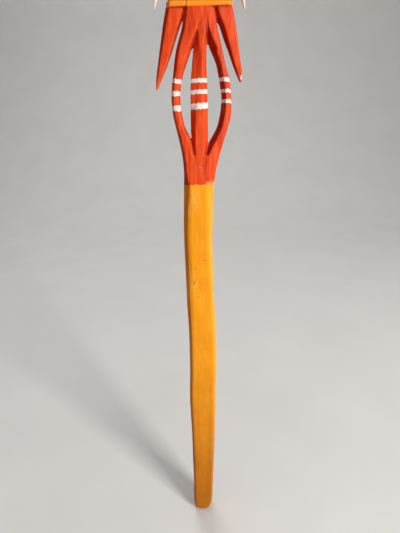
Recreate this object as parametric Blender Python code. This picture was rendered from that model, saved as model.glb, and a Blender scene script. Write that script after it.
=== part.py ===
"""A long-handled folk maraca: one carved and painted stick, a hollow head in two glued
half-shells threaded on the stick's round tenon, the cords, washers and pin that hold the
head, and loose seeds inside it.

Units are metres in Blender; the design tables below are in millimetres (MM converts them).
+Z runs up the stick from its butt, X is across its carved face and -Y is its front.
The origin is under the middle of the head, at the level of the butt's end face.
"""

import math

import bmesh
import bpy
from mathutils import Matrix

MM = 0.001

# ---------------------------------------------------------------- driving dimensions, in mm
GAP = 0.3                 # space left between touching pieces

TOTAL_HEIGHT = 728.0      # butt end to the top of the tenon
HANDLE_TOP = 404.0        # where the handle begins to split into the fork

BAND_LOW = (521.8, 525.6)     # carved ledge above the red spikes
BAND_HIGH = (580.0, 584.0)    # carved ledge above the white spikes
BAND_HALF_WIDTH = 24.4
BAND_HALF_THICK = 11.9

SHOULDER_R, SHOULDER_TOP = 13.0, 591.0   # round seat under the head
TENON_R = 8.0
PIN_Z, PIN_R, PIN_LENGTH = 710.8, 2.0, 34.0
PIN_HOLE_R = PIN_R + GAP

HEAD_Z = 650.0            # height of the head's equator
HEAD_R, HEAD_HALF_H = 50.0, 56.0         # outside radius and half height
WALL = 3.6                # shell thickness
HEAD_HOLE_R = TENON_R + 0.6

CORD_TURNS, CORD_D = 3, 2.4              # lashing over the head's glue line
NECK_TURNS, NECK_CORD_D = 3, 1.8         # wrapping on the shoulder
WASHER_R = 16.0
WASHER_LOW = (SHOULDER_TOP + GAP, 594.3)
WASHER_HIGH = (705.7, 708.3)

SEED_R = 3.5
SEED_RINGS = ((13.0, 5, 0.0), (21.5, 7, 12.0))   # ring radius, seeds, first angle in degrees

SIDES = 32                # facets round the head and its fittings

# Handle: height, left edge, right edge, half thickness. Its centreline wanders a little, as a
# hand-shaved stick's does.
HANDLE = (
    (0.0, -7.2, 6.6, 7.0),
    (2.2, -9.2, 8.6, 8.8),
    (9.0, -10.4, 10.6, 10.4),
    (50.0, -10.7, 11.9, 10.6),
    (101.0, -11.3, 13.3, 11.0),
    (168.0, -12.9, 14.2, 11.4),
    (209.0, -12.4, 14.7, 11.6),
    (247.0, -12.7, 14.1, 11.6),
    (283.0, -14.1, 11.9, 11.5),
    (316.0, -14.7, 10.7, 11.4),
    (347.0, -15.3, 10.2, 11.4),
    (377.0, -14.7, 10.7, 11.3),
    (391.0, -14.3, 11.3, 11.2),
    (HANDLE_TOP, -13.8, 12.8, 10.8),
    (411.0, -14.3, 14.2, 10.6),
    (416.5, -14.7, 15.3, 10.3),
)
HANDLE_CHAMFER = (5.0, 6.2, 5.6)          # left, right, and how deep they run

# The three tines of the fork: height, left edge, right edge at the middle of the thickness.
LEFT_TINE = (
    (394.0, -12.6, -3.0), (402.0, -14.0, -1.2), (411.0, -14.7, -3.4), (420.0, -15.9, -6.0),
    (429.0, -17.8, -8.2), (439.0, -20.2, -12.9), (445.0, -21.6, -14.3), (452.0, -22.6, -15.6),
    (460.0, -23.0, -16.0), (469.0, -22.4, -15.4), (477.0, -21.2, -13.6), (483.0, -20.3, -11.6),
    (489.0, -19.2, -9.3), (494.5, -18.1, -7.1), (501.0, -16.5, -3.9), (509.0, -14.2, 0.8),
    (516.0, -12.3, 2.0), (523.6, -11.2, 2.6),
)
CENTRE_TINE = (
    (396.0, -3.4, 2.2), (406.0, -5.0, 3.4), (418.0, -7.0, 5.0), (429.0, -7.8, 6.4),
    (442.0, -7.7, 6.3), (451.0, -7.7, 6.2), (460.0, -7.7, 5.9), (469.0, -7.5, 5.6),
    (477.0, -7.0, 5.4), (483.0, -6.3, 5.2), (489.0, -5.7, 5.1), (494.5, -5.2, 5.1),
    (501.0, -4.3, 5.7), (509.0, -3.4, 7.3), (516.0, -3.2, 7.6), (523.3, -3.0, 7.8),
)
RIGHT_TINE = (
    (395.0, 1.4, 10.2), (402.0, -0.8, 12.4), (411.0, 1.0, 14.8), (420.0, 4.0, 17.2),
    (429.0, 8.8, 19.8), (439.0, 14.0, 22.9), (445.0, 15.6, 24.4), (452.0, 16.8, 25.1),
    (460.0, 17.3, 24.9), (469.0, 16.1, 24.1), (477.0, 14.5, 22.3), (483.0, 13.2, 20.3),
    (489.0, 11.0, 18.8), (494.5, 8.3, 17.3), (501.0, 5.9, 15.7), (509.0, 2.6, 13.6),
    (516.0, 1.6, 12.2), (523.9, 1.2, 10.8),
)
TINE_CHAMFER_SHARE = (0.36, 0.28)         # outer and inner chamfer, as shares of the width
TINE_CHAMFER_MAX = 3.1

# Side spikes: height, edge nearer the middle, outer edge, half thickness.
RED_SPIKE_LEFT = (
    (524.6, -10.8, -24.2, 9.8), (521.0, -11.3, -25.2, 9.6), (510.7, -14.7, -27.7, 8.4),
    (502.7, -18.1, -29.3, 7.4), (494.5, -21.5, -31.0, 6.3), (486.0, -24.9, -32.6, 5.1),
    (478.0, -28.6, -34.1, 3.9), (471.0, -32.0, -35.0, 2.7), (465.6, -34.3, -35.1, 1.5),
)
RED_SPIKE_RIGHT = (
    (524.3, 10.0, 24.0, 9.8), (521.0, 10.4, 25.0, 9.6), (510.7, 15.4, 27.4, 8.4),
    (502.7, 18.4, 28.9, 7.4), (494.5, 21.9, 30.5, 6.3), (486.0, 25.1, 32.0, 5.2),
    (479.0, 28.1, 33.4, 4.2), (474.5, 30.2, 33.7, 3.2), (471.6, 31.8, 33.2, 2.2),
)
WHITE_SPIKE = (           # mirrored for the left side
    (583.0, 10.4, 24.0, 9.4), (579.0, 11.0, 25.0, 9.2), (569.0, 14.2, 26.8, 8.1),
    (560.0, 18.0, 28.4, 7.1), (551.0, 21.8, 29.9, 6.0), (542.0, 25.4, 31.4, 4.9),
    (534.0, 28.6, 32.8, 3.8), (527.0, 31.6, 34.0, 2.7), (521.4, 33.6, 34.4, 1.5),
)
SPIKE_CHAMFER = 0.24      # share of a spike's width pared from each side

# Ochre neck between the two ledges: height, half width, half thickness.
NECK = ((524.4, 23.6, 11.2), (538.0, 20.6, 10.9), (552.0, 17.4, 10.6), (567.0, 14.2, 10.4), (582.2, 11.6, 10.2))
NECK_CHAMFER = 3.4


# ---------------------------------------------------------------- helpers
def clear_scene():
    for ob in list(bpy.data.objects):
        bpy.data.objects.remove(ob)
    for mesh in list(bpy.data.meshes):
        bpy.data.meshes.remove(mesh)


def principled(name, colour, roughness, metallic=0.0):
    mat = bpy.data.materials.new(name)
    mat.use_nodes = True
    shader = mat.node_tree.nodes["Principled BSDF"]
    shader.inputs["Base Color"].default_value = (*colour, 1.0)
    shader.inputs["Roughness"].default_value = roughness
    shader.inputs["Metallic"].default_value = metallic
    mat.diffuse_color = (*colour, 1.0)
    return mat


def add_object(name, bm, mat, smooth=None):
    """Turns a bmesh in millimetres into a named object in metres."""
    bmesh.ops.scale(bm, vec=(MM, MM, MM), verts=bm.verts)
    bmesh.ops.recalc_face_normals(bm, faces=bm.faces)
    mesh = bpy.data.meshes.new(name)
    bm.to_mesh(mesh)
    bm.free()
    ob = bpy.data.objects.new(name, mesh)
    bpy.context.collection.objects.link(ob)
    if mat is not None:
        mesh.materials.append(mat)
    if smooth is not None:
        mesh.shade_smooth()
        mesh.set_sharp_from_angle(angle=math.radians(smooth))
    return ob


def skin(loops):
    """A closed body through a stack of loops with equal counts, capped at both ends."""
    bm = bmesh.new()
    rings = [[bm.verts.new(p) for p in loop] for loop in loops]
    for low, high in zip(rings, rings[1:]):
        n = len(low)
        for i in range(n):
            j = (i + 1) % n
            bm.faces.new((low[i], low[j], high[j], high[i]))
    bm.faces.new(list(reversed(rings[0])))
    bm.faces.new(rings[-1])
    bmesh.ops.triangulate(bm, faces=bm.faces)
    return bm


def eight_sided(z, left, right, half_thick, cut_left, cut_right, depth, shift=0.0):
    """One cross-section of a bar with its four long edges pared away."""
    t = half_thick
    return (
        (left + cut_left, -t + shift, z), (right - cut_right, -t + shift, z),
        (right, -t + depth + shift, z), (right, t - depth + shift, z),
        (right - cut_right, t + shift, z), (left + cut_left, t + shift, z),
        (left, t - depth + shift, z), (left, -t + depth + shift, z),
    )


def fork_half_thickness(z):
    """The blank is pared thinner through the openwork and left full at both ends."""
    middle, reach = 460.0, 62.0
    dip = max(0.0, math.cos((z - middle) / reach * math.pi / 2)) if abs(z - middle) < reach else 0.0
    return 11.0 - 2.4 * dip * dip


def tine(table, outer_is_left, thin, depth, shares=TINE_CHAMFER_SHARE, most=TINE_CHAMFER_MAX):
    loops = []
    for z, left, right in table:
        w = right - left
        outer, inner = min(w * shares[0], most), min(w * shares[1], most)
        cut_left, cut_right = (outer, inner) if outer_is_left else (inner, outer)
        t = fork_half_thickness(z) - thin
        loops.append(eight_sided(z, left, right, t, cut_left, cut_right, depth))
    return skin(loops)


def spike(table, side=None):
    """A flat-faced spike with its four long edges pared, shrinking to its tip."""
    loops = []
    for z, inner, outer, t in sorted(table):
        a, b = (inner, outer) if side is None else (side * inner, side * outer)
        left, right = min(a, b), max(a, b)
        w = right - left
        loops.append(eight_sided(z, left, right, t, w * SPIKE_CHAMFER, w * SPIKE_CHAMFER, t * 0.42))
    return skin(loops)


def turned(profile, sides=SIDES):
    """A closed profile of (radius, height) points swept round the Z axis."""
    bm = bmesh.new()
    verts = [bm.verts.new((r, 0.0, z)) for r, z in profile]
    edges = [bm.edges.new((verts[i], verts[(i + 1) % len(verts)])) for i in range(len(verts))]
    bmesh.ops.spin(
        bm, geom=verts + edges, axis=(0, 0, 1), cent=(0, 0, 0),
        steps=sides, angle=2 * math.pi, use_merge=True, use_duplicate=False,
    )
    bmesh.ops.remove_doubles(bm, verts=bm.verts, dist=0.0005)
    bmesh.ops.triangulate(bm, faces=bm.faces)
    return bm


def cylinder(radius, z0, z1, sides=24, bevel=0.0):
    bm = bmesh.new()
    rings = []
    stack = [(radius, z0), (radius, z1 - bevel)] + ([(radius - bevel, z1)] if bevel else [])
    for r, z in stack:
        rings.append([(r * math.cos(2 * math.pi * i / sides), r * math.sin(2 * math.pi * i / sides), z)
                      for i in range(sides)])
    bm.free()
    return skin(rings)


def operand(target, name, bm, operation):
    """Adds a hidden guide body and the Boolean that joins it to, or cuts it from, the target."""
    ob = add_object(name, bm, None)
    ob.hide_render = True
    ob.display_type = "WIRE"
    mod = target.modifiers.new(name, "BOOLEAN")
    mod.operation = operation
    mod.solver = "EXACT"
    mod.object = ob
    return ob


def shell_radius(z, r, half_h):
    u = max(0.0, 1.0 - ((z - HEAD_Z) / half_h) ** 2)
    return r * math.sqrt(u)


def shell_height(radius, r, half_h):
    return half_h * math.sqrt(max(0.0, 1.0 - (radius / r) ** 2))


def half_shell(up, steps=9):
    """One half of the head: a thick bowl with the tenon's hole through its pole."""
    sign = 1.0 if up else -1.0
    r_in, h_in = HEAD_R - WALL, HEAD_HALF_H - WALL
    rim = GAP / 2

    def arc(r, h):
        start = math.asin(rim / h)
        stop = math.acos(HEAD_HOLE_R / r)
        for i in range(steps + 1):
            a = start + (stop - start) * i / steps
            yield r * math.cos(a), HEAD_Z + sign * h * math.sin(a)

    outer = list(arc(HEAD_R, HEAD_HALF_H))
    inner = list(arc(r_in, h_in))
    return turned(outer + inner[::-1])


def ring_of_cord(radius_in, z_mid, turns, cord_d):
    """The outside shape of a few turns of cord lying side by side, as one ring."""
    h = turns * cord_d / 2
    b = cord_d * 0.3
    r0, r1 = radius_in, radius_in + cord_d
    return turned([(r0, z_mid - h + b), (r0 + b, z_mid - h), (r1 - b, z_mid - h), (r1, z_mid - h + b),
                   (r1, z_mid + h - b), (r1 - b, z_mid + h), (r0 + b, z_mid + h), (r0, z_mid + h - b)])


def washer(low, high, r_hole, r_out):
    return turned([(r_hole, low), (r_out - 0.6, low), (r_out, low + 0.6), (r_out, high - 0.6),
                   (r_out - 0.6, high), (r_hole, high)])


# ---------------------------------------------------------------- the model
def make_stick(mat):
    loops = []
    for z, left, right, t in HANDLE:
        share = min(1.0, (right - left) / 22.0)
        cl, cr, depth = (HANDLE_CHAMFER[0] * share, HANDLE_CHAMFER[1] * share, HANDLE_CHAMFER[2] * share)
        loops.append(eight_sided(z, left, right, t, cl, cr, depth))
    stick = add_object("stick", skin(loops), mat)

    operand(stick, "guide_left_tine", tine(LEFT_TINE, True, 0.15, 4.6), "UNION")
    operand(stick, "guide_right_tine", tine(RIGHT_TINE, False, 0.32, 4.6), "UNION")
    operand(stick, "guide_centre_tine", tine(CENTRE_TINE, True, 0.5, 5.4, (0.38, 0.33), 5.2), "UNION")
    operand(stick, "guide_red_spike_left", spike(RED_SPIKE_LEFT), "UNION")
    operand(stick, "guide_red_spike_right", spike(RED_SPIKE_RIGHT), "UNION")

    neck = [eight_sided(z, -w, w, t, NECK_CHAMFER, NECK_CHAMFER, NECK_CHAMFER) for z, w, t in NECK]
    operand(stick, "guide_neck", skin(neck), "UNION")
    operand(stick, "guide_white_spike_left", spike(WHITE_SPIKE, -1.0), "UNION")
    operand(stick, "guide_white_spike_right", spike(WHITE_SPIKE, 1.0), "UNION")
    for label, (z0, z1) in (("low", BAND_LOW), ("high", BAND_HIGH)):
        w, t = BAND_HALF_WIDTH + (0.9 if label == "high" else 0.0), BAND_HALF_THICK
        ledge = [eight_sided(z, -w, w, t, 3.0, 3.0, 3.0) for z in (z0, z1)]
        operand(stick, "guide_band_" + label, skin(ledge), "UNION")

    operand(stick, "guide_shoulder", cylinder(SHOULDER_R, BAND_HIGH[0] + 1.0, SHOULDER_TOP), "UNION")
    operand(stick, "guide_tenon", cylinder(TENON_R, SHOULDER_TOP - 5.0, TOTAL_HEIGHT, bevel=1.8), "UNION")

    hole = cylinder(PIN_HOLE_R, -15.0, 15.0, sides=12)
    bmesh.ops.rotate(hole, verts=hole.verts, cent=(0, 0, 0), matrix=Matrix.Rotation(math.pi / 2, 3, "Y"))
    bmesh.ops.translate(hole, verts=hole.verts, vec=(0, 0, PIN_Z))
    operand(stick, "guide_pin_hole", hole, "DIFFERENCE")
    return stick


def make_pin(mat):
    bm = cylinder(PIN_R, -PIN_LENGTH / 2, PIN_LENGTH / 2, sides=12)
    bmesh.ops.rotate(bm, verts=bm.verts, cent=(0, 0, 0), matrix=Matrix.Rotation(math.pi / 2, 3, "Y"))
    ob = add_object("cross_pin", bm, mat, smooth=40)
    ob.location = (0, 0, PIN_Z * MM)
    return ob


def make_seeds(mat):
    """Seeds lying round the tenon on the floor of the lower half-shell, each on its own line of travel."""
    mesh_bm = bmesh.new()
    bmesh.ops.create_icosphere(mesh_bm, subdivisions=2, radius=SEED_R * MM)
    mesh = bpy.data.meshes.new("seed")
    mesh_bm.to_mesh(mesh)
    mesh_bm.free()
    mesh.materials.append(mat)
    mesh.shade_smooth()
    reach = WALL + SEED_R + GAP + 0.45
    number = 0
    for radius, count, first in SEED_RINGS:
        drop = shell_height(radius, HEAD_R - reach, HEAD_HALF_H - reach)
        for i in range(count):
            number += 1
            a = math.radians(first) + 2 * math.pi * i / count
            ob = bpy.data.objects.new("seed_%02d" % number, mesh)
            ob.location = (radius * MM * math.cos(a), radius * MM * math.sin(a), (HEAD_Z - drop) * MM)
            bpy.context.collection.objects.link(ob)


def main():
    clear_scene()
    painted = principled("painted_wood", (0.80, 0.33, 0.03), 0.6)
    shell_low = principled("head_lower", (0.55, 0.10, 0.03), 0.5)
    shell_high = principled("head_upper", (0.80, 0.33, 0.03), 0.5)
    cord = principled("cotton_cord", (0.72, 0.62, 0.45), 0.9)
    hide = principled("leather_washer", (0.25, 0.12, 0.05), 0.8)
    peg = principled("bare_wood", (0.45, 0.26, 0.12), 0.7)
    seed = principled("seed", (0.09, 0.05, 0.03), 0.45)

    make_stick(painted)
    add_object("head_lower_shell", half_shell(False), shell_low, smooth=40)
    add_object("head_upper_shell", half_shell(True), shell_high, smooth=40)
    add_object("equator_cord", ring_of_cord(HEAD_R + GAP + 0.05, HEAD_Z, CORD_TURNS, CORD_D), cord, smooth=50)
    add_object("neck_cord", ring_of_cord(SHOULDER_R + GAP + 0.05, (BAND_HIGH[1] + SHOULDER_TOP) / 2,
                                         NECK_TURNS, NECK_CORD_D), cord, smooth=50)
    add_object("lower_washer", washer(*WASHER_LOW, TENON_R + GAP, WASHER_R), hide, smooth=30)
    add_object("upper_washer", washer(*WASHER_HIGH, TENON_R + GAP, WASHER_R - 3.0), hide, smooth=30)
    make_pin(peg)
    make_seeds(seed)


main()
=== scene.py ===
"""Looks for the long-handled maraca: carved and hand-painted stick, turned and painted head,
twisted cotton lashings, leather washers, whittled pin and hard seeds. Metres, +Z up the stick."""
import math

import bmesh
import bpy
import numpy as np
from mathutils import Matrix, Vector


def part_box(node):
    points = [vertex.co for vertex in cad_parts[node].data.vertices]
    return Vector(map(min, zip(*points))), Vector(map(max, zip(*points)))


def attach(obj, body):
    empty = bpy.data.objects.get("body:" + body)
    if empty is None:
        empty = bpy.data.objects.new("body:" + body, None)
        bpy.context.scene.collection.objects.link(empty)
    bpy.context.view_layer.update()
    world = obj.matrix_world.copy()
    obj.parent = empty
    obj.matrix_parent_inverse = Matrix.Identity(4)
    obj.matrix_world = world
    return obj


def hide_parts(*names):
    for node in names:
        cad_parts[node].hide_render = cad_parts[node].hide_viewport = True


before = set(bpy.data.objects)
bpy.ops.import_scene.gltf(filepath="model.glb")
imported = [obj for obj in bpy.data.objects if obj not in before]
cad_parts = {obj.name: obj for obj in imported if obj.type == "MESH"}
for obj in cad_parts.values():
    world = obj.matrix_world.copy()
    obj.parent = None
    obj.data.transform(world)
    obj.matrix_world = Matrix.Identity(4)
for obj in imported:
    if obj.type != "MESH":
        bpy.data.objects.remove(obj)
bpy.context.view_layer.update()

MM = 0.001
RNG = np.random.RandomState

# =====================================================================================
# camera: a phone held close in front, looking down at the stick, the head out of frame
# =====================================================================================
PITCH, ROLL = math.radians(21.6), math.radians(0.4667)
cam_data = bpy.data.cameras.new("camera")
cam = bpy.data.objects.new("camera", cam_data)
bpy.context.scene.collection.objects.link(cam)
bpy.context.scene.camera = cam
cam_data.sensor_fit = "VERTICAL"
cam_data.sensor_height = 36.0
cam_data.sensor_width = 36.0
cam_data.lens = 27.02
cam_data.clip_start, cam_data.clip_end = 0.01, 50.0
c, s = math.cos(PITCH), math.sin(PITCH)
cr, sr = math.cos(ROLL), math.sin(ROLL)
right = Vector((cr, 0, -sr))
up = Vector((c * sr, s, c * cr))
back = right.cross(up)
cam.matrix_world = Matrix((
    (right.x, up.x, back.x, -0.000129),
    (right.y, up.y, back.y, -0.351),
    (right.z, up.z, back.z, 0.45302),
    (0, 0, 0, 1)))

# =====================================================================================
# small tools
# =====================================================================================


def link(mesh, name):
    ob = bpy.data.objects.new(name, mesh)
    bpy.context.scene.collection.objects.link(ob)
    return ob


def mesh_from(name, verts, faces):
    me = bpy.data.meshes.new(name)
    me.from_pydata([tuple(v) for v in verts], [], [tuple(f) for f in faces])
    me.update()
    return me


def coords(me):
    a = np.empty(len(me.vertices) * 3, np.float32)
    me.vertices.foreach_get("co", a)
    return a.reshape(-1, 3).astype(float)


def set_coords(me, a):
    me.vertices.foreach_set("co", np.ascontiguousarray(a, np.float32).ravel())
    me.update()


def normals(me):
    a = np.empty(len(me.vertices) * 3, np.float32)
    me.vertex_normals.foreach_get("vector", a)
    return a.reshape(-1, 3).astype(float)


def edge_array(me):
    a = np.empty(len(me.edges) * 2, np.int32)
    me.edges.foreach_get("vertices", a)
    return a.reshape(-1, 2)


def neighbour_mean(e, a, n):
    cnt = np.bincount(e.ravel(), minlength=n).astype(float)
    cnt[cnt == 0] = 1

    def one(col):
        return (np.bincount(e[:, 0], col[e[:, 1]], n) + np.bincount(e[:, 1], col[e[:, 0]], n)) / cnt

    return one(a) if a.ndim == 1 else np.column_stack([one(a[:, k]) for k in range(a.shape[1])])


def smooth_step(a, b, x):
    t = np.clip((x - a) / (b - a), 0, 1)
    return t * t * (3 - 2 * t)


def attribute(me, name, values):
    at = me.attributes.get(name) or me.attributes.new(name, "FLOAT", "POINT")
    at.data.foreach_set("value", np.ascontiguousarray(values, np.float32))


def lattice_noise(p, seed):
    """Smooth value noise in -1..1 at points p (n, 3), in cells of 1."""
    r = RNG(seed).rand(16, 16, 16) * 2 - 1
    i = np.floor(p).astype(int)
    f = p - i
    f = f * f * (3 - 2 * f)
    out = np.zeros(len(p))
    for dx in (0, 1):
        for dy in (0, 1):
            for dz in (0, 1):
                w = (np.where(dx, f[:, 0], 1 - f[:, 0]) * np.where(dy, f[:, 1], 1 - f[:, 1])
                     * np.where(dz, f[:, 2], 1 - f[:, 2]))
                out += w * r[(i[:, 0] + dx) % 16, (i[:, 1] + dy) % 16, (i[:, 2] + dz) % 16]
    return out


def kinked(seed, z0, z1, low, high, amp):
    """A line of straight strokes of uneven length, as a knife leaves along a stick."""
    r = RNG(seed)
    zs = [z0 - high]
    while zs[-1] < z1 + high:
        zs.append(zs[-1] + r.uniform(low, high))
    vs = r.uniform(-amp, amp, len(zs))
    return lambda z: np.interp(z, zs, vs)


def smooth_table(table, step):
    """Monotone cubic through a table's rows, read every step of height."""
    t = np.array(sorted(table), float)
    z, y = t[:, 0], t[:, 1:]
    h = np.diff(z)
    d = np.diff(y, axis=0) / h[:, None]
    m = np.zeros_like(y)
    m[0], m[-1] = d[0], d[-1]
    for k in range(1, len(z) - 1):
        w1, w2 = 2 * h[k] + h[k - 1], h[k] + 2 * h[k - 1]
        same = d[k - 1] * d[k] > 0
        with np.errstate(divide="ignore", invalid="ignore"):
            hm = (w1 + w2) / (w1 / d[k - 1] + w2 / d[k])
        m[k] = np.where(same, hm, 0)
    zs = np.linspace(z[0], z[-1], max(2, int(round((z[-1] - z[0]) / step)) + 1))
    i = np.clip(np.searchsorted(z, zs) - 1, 0, len(z) - 2)
    t_ = ((zs - z[i]) / h[i])[:, None]
    hh = h[i][:, None]
    y_ = ((1 + 2 * t_) * (1 - t_) ** 2 * y[i] + t_ * (1 - t_) ** 2 * hh * m[i]
          + t_ ** 2 * (3 - 2 * t_) * y[i + 1] + t_ ** 2 * (t_ - 1) * hh * m[i + 1])
    return np.column_stack([zs, y_])


# =====================================================================================
# the stick, in millimetres: the same tables as the CAD, with finer facets
# =====================================================================================
HANDLE = (
    (0.0, -5.0, 3.2, 5.4), (1.0, -6.7, 5.0, 7.0), (2.6, -8.1, 6.9, 8.3), (5.4, -9.3, 8.9, 9.5), (10.5, -10.2, 10.3, 10.2),
    (18.0, -10.6, 11.0, 10.4), (50.0, -10.7, 11.9, 10.6), (101.0, -11.3, 13.3, 11.0),
    (168.0, -12.9, 14.2, 11.4), (209.0, -12.4, 14.7, 11.6), (247.0, -12.7, 14.1, 11.6),
    (283.0, -14.1, 11.9, 11.5), (316.0, -14.7, 10.7, 11.4), (347.0, -15.3, 10.2, 11.4),
    (377.0, -14.7, 10.7, 11.3), (391.0, -14.3, 11.3, 11.1), (404.0, -13.8, 12.8, 10.9),
    (411.0, -14.3, 14.2, 10.7), (416.5, -14.7, 15.3, 10.4),
)
HANDLE_CUTS = ((0.0, 3.3, 4.3), (5.0, 3.6, 4.4), (14.0, 3.0, 3.4), (30.0, 2.6, 2.4), (60.0, 2.8, 2.4), (150.0, 3.4, 3.2), (230.0, 4.6, 4.2), (290.0, 6.0, 4.6),
               (340.0, 6.4, 5.6), (380.0, 6.4, 6.6), (392.0, 5.4, 6.8), (417.0, 4.0, 5.4))
HANDLE_TWIN = ((0.0, 0.50, 0.28), (12.0, 0.50, 0.26), (30.0, 0.42, 0.20), (200.0, 0.45, 0.20), (372.0, 0.44, 0.18), (393.0, 0.12, 0.10), (417.0, 0.12, 0.10))
LEFT_TINE = (
    (394.0, -12.6, -3.0), (402.0, -14.0, -1.2), (411.0, -14.7, -3.4), (420.0, -15.9, -6.0),
    (429.0, -17.8, -8.2), (439.0, -20.2, -12.9), (445.0, -21.6, -14.3), (452.0, -22.6, -15.6),
    (460.0, -23.0, -16.0), (469.0, -22.4, -15.4), (477.0, -21.2, -13.6), (483.0, -20.3, -11.6),
    (489.0, -19.2, -9.3), (494.5, -18.1, -7.1), (501.0, -16.0, -3.9), (509.0, -13.4, 0.8),
    (516.0, -12.3, 2.0), (523.6, -11.2, 2.6),
)
CENTRE_TINE = (
    (396.0, -3.4, 2.2), (406.0, -5.0, 3.4), (418.0, -7.0, 5.0), (429.0, -7.8, 6.4),
    (442.0, -7.7, 6.3), (451.0, -7.7, 6.2), (460.0, -7.7, 5.9), (469.0, -7.5, 5.6),
    (477.0, -7.0, 5.4), (483.0, -6.3, 5.2), (489.0, -5.7, 5.1), (494.5, -5.2, 5.1),
    (501.0, -4.3, 5.7), (509.0, -3.4, 7.3), (516.0, -3.2, 7.6), (523.3, -3.0, 7.8),
)
RIGHT_TINE = (
    (395.0, 1.4, 10.2), (402.0, -0.8, 12.4), (411.0, 1.0, 14.8), (420.0, 4.0, 17.2),
    (429.0, 8.8, 19.8), (439.0, 14.0, 22.9), (445.0, 15.6, 24.4), (452.0, 16.8, 25.1),
    (460.0, 17.3, 24.9), (469.0, 16.1, 24.1), (477.0, 14.5, 22.3), (483.0, 13.2, 20.3),
    (489.0, 11.0, 18.8), (494.5, 8.3, 17.3), (501.0, 5.9, 15.7), (509.0, 2.6, 13.6),
    (516.0, 1.6, 12.2), (523.9, 1.2, 10.8),
)
RED_SPIKE_LEFT = (
    (524.6, -24.2, -10.8, 9.8), (521.0, -25.2, -11.3, 9.6), (510.7, -27.7, -15.4, 8.4),
    (502.7, -29.3, -18.6, 7.4), (494.5, -31.0, -21.5, 6.3), (486.0, -32.6, -24.9, 5.1),
    (478.0, -34.1, -28.6, 3.9), (471.0, -35.0, -32.0, 2.7), (465.6, -35.1, -34.3, 1.5),
)
RED_SPIKE_RIGHT = (
    (524.3, 10.0, 24.0, 9.8), (521.0, 10.4, 25.0, 9.6), (510.7, 15.4, 27.4, 8.4),
    (502.7, 18.4, 28.9, 7.4), (494.5, 21.9, 30.5, 6.3), (486.0, 25.1, 32.0, 5.2),
    (479.0, 28.1, 33.4, 4.2), (474.5, 30.2, 33.7, 3.2), (471.6, 31.8, 33.2, 2.2),
)
WHITE_SPIKE = (
    (583.0, 10.4, 24.0, 9.4), (579.0, 11.0, 25.0, 9.2), (569.0, 14.2, 26.8, 8.1),
    (560.0, 18.0, 28.4, 7.1), (551.0, 21.8, 29.9, 6.0), (542.0, 25.4, 31.4, 4.9),
    (534.0, 28.6, 32.8, 3.8), (527.0, 31.6, 34.0, 2.7), (521.4, 33.6, 34.4, 1.5),
)
NECK = ((524.4, -23.6, 23.6, 11.2), (538.0, -20.6, 20.6, 10.9), (552.0, -17.4, 17.4, 10.6), (567.0, -14.2, 14.2, 10.4),
        (582.2, -11.6, 11.6, 10.2))
BAND_LOW, BAND_HIGH = (521.8, 525.6), (580.0, 584.0)
SHOULDER_R, SHOULDER_TOP, TENON_R, TOTAL = 13.0, 591.0, 8.0, 728.0
PIN_Z, PIN_R = 710.8, 2.0
HEAD_Z, HEAD_R, HEAD_H, WALL = 650.0, 50.0, 56.0, 3.6
HOLE_R = TENON_R + 0.6
RED_LINE = 391.6


def fork_t(z):
    a = np.clip((z - 460.0) / 62.0, -1, 1)
    return 11.0 - 2.4 * np.cos(a * math.pi / 2) ** 2


def bar(rows, cuts, depth, thick, seed, amp=0.22, strokes=(9, 26), twin=lambda z: (0.5, 0.5), turn=0.0):
    """A bar through rows (z, left, right) with its long edges pared. cuts, depth and thick are functions of z
    that give (left cut, right cut), how deep a cut runs, and the half thickness. Each cut is two facets; twin gives the
    share of the cut's width, and of its depth, that the front-most facet takes. The front faces right by the slope turn.
    Each of the twelve long edges wanders by straight knife strokes of its own. Returns vertices and faces."""
    zs = rows[:, 0]
    jig = [(kinked(seed * 37 + k, zs[0], zs[-1], *strokes, amp), kinked(seed * 53 + k + 11, zs[0], zs[-1], *strokes, amp))
           for k in range(12)]
    verts, faces = [], []
    for n, row in enumerate(rows):
        z, left, right_ = row[:3]
        cl, cr_ = cuts(z)
        d, t = depth(z), thick(z)
        dl, dr = d if isinstance(d, tuple) else (d, d)
        sx, sy = twin(z)
        pts = [(left + cl, -t), (right_ - cr_, -t), (right_ - cr_ * (1 - sx), -t + dr * sy), (right_, -t + dr),
               (right_, t - dr), (right_ - cr_ * (1 - sx), t - dr * sy), (right_ - cr_, t), (left + cl, t),
               (left + cl * (1 - sx), t - dl * sy), (left, t - dl), (left, -t + dl), (left + cl * (1 - sx), -t + dl * sy)]
        mid = (left + right_) / 2
        for k, (x, y) in enumerate(pts):
            jx, jy = jig[k][0](z), jig[k][1](z)
            if k in (3, 4, 9, 10):
                jx *= 0.45          # the outline follows the design more closely than the facets do
            elif k in (2, 5, 8, 11):
                jx, jy = jx * 0.5, jy * 0.5
            else:
                jy *= 0.5
            if y < 0:
                y += turn * (x - mid)
            verts.append((x + jx, y + jy, z))
    for n in range(len(rows) - 1):
        for k in range(12):
            a, b = n * 12 + k, n * 12 + (k + 1) % 12
            faces.append((a, b, b + 12, a + 12))
    faces.append(tuple(range(11, -1, -1)))
    faces.append(tuple(range((len(rows) - 1) * 12, len(rows) * 12)))
    return verts, faces


def disc_bar(profile, sides=48):
    verts, faces = [], []
    for r, z in profile:
        verts += [(r * math.cos(2 * math.pi * i / sides), r * math.sin(2 * math.pi * i / sides), z) for i in range(sides)]
    for n in range(len(profile) - 1):
        for k in range(sides):
            a, b = n * sides + k, n * sides + (k + 1) % sides
            faces.append((a, b, b + sides, a + sides))
    faces.append(tuple(range(sides - 1, -1, -1)))
    faces.append(tuple(range((len(profile) - 1) * sides, len(profile) * sides)))
    return verts, faces


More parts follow.
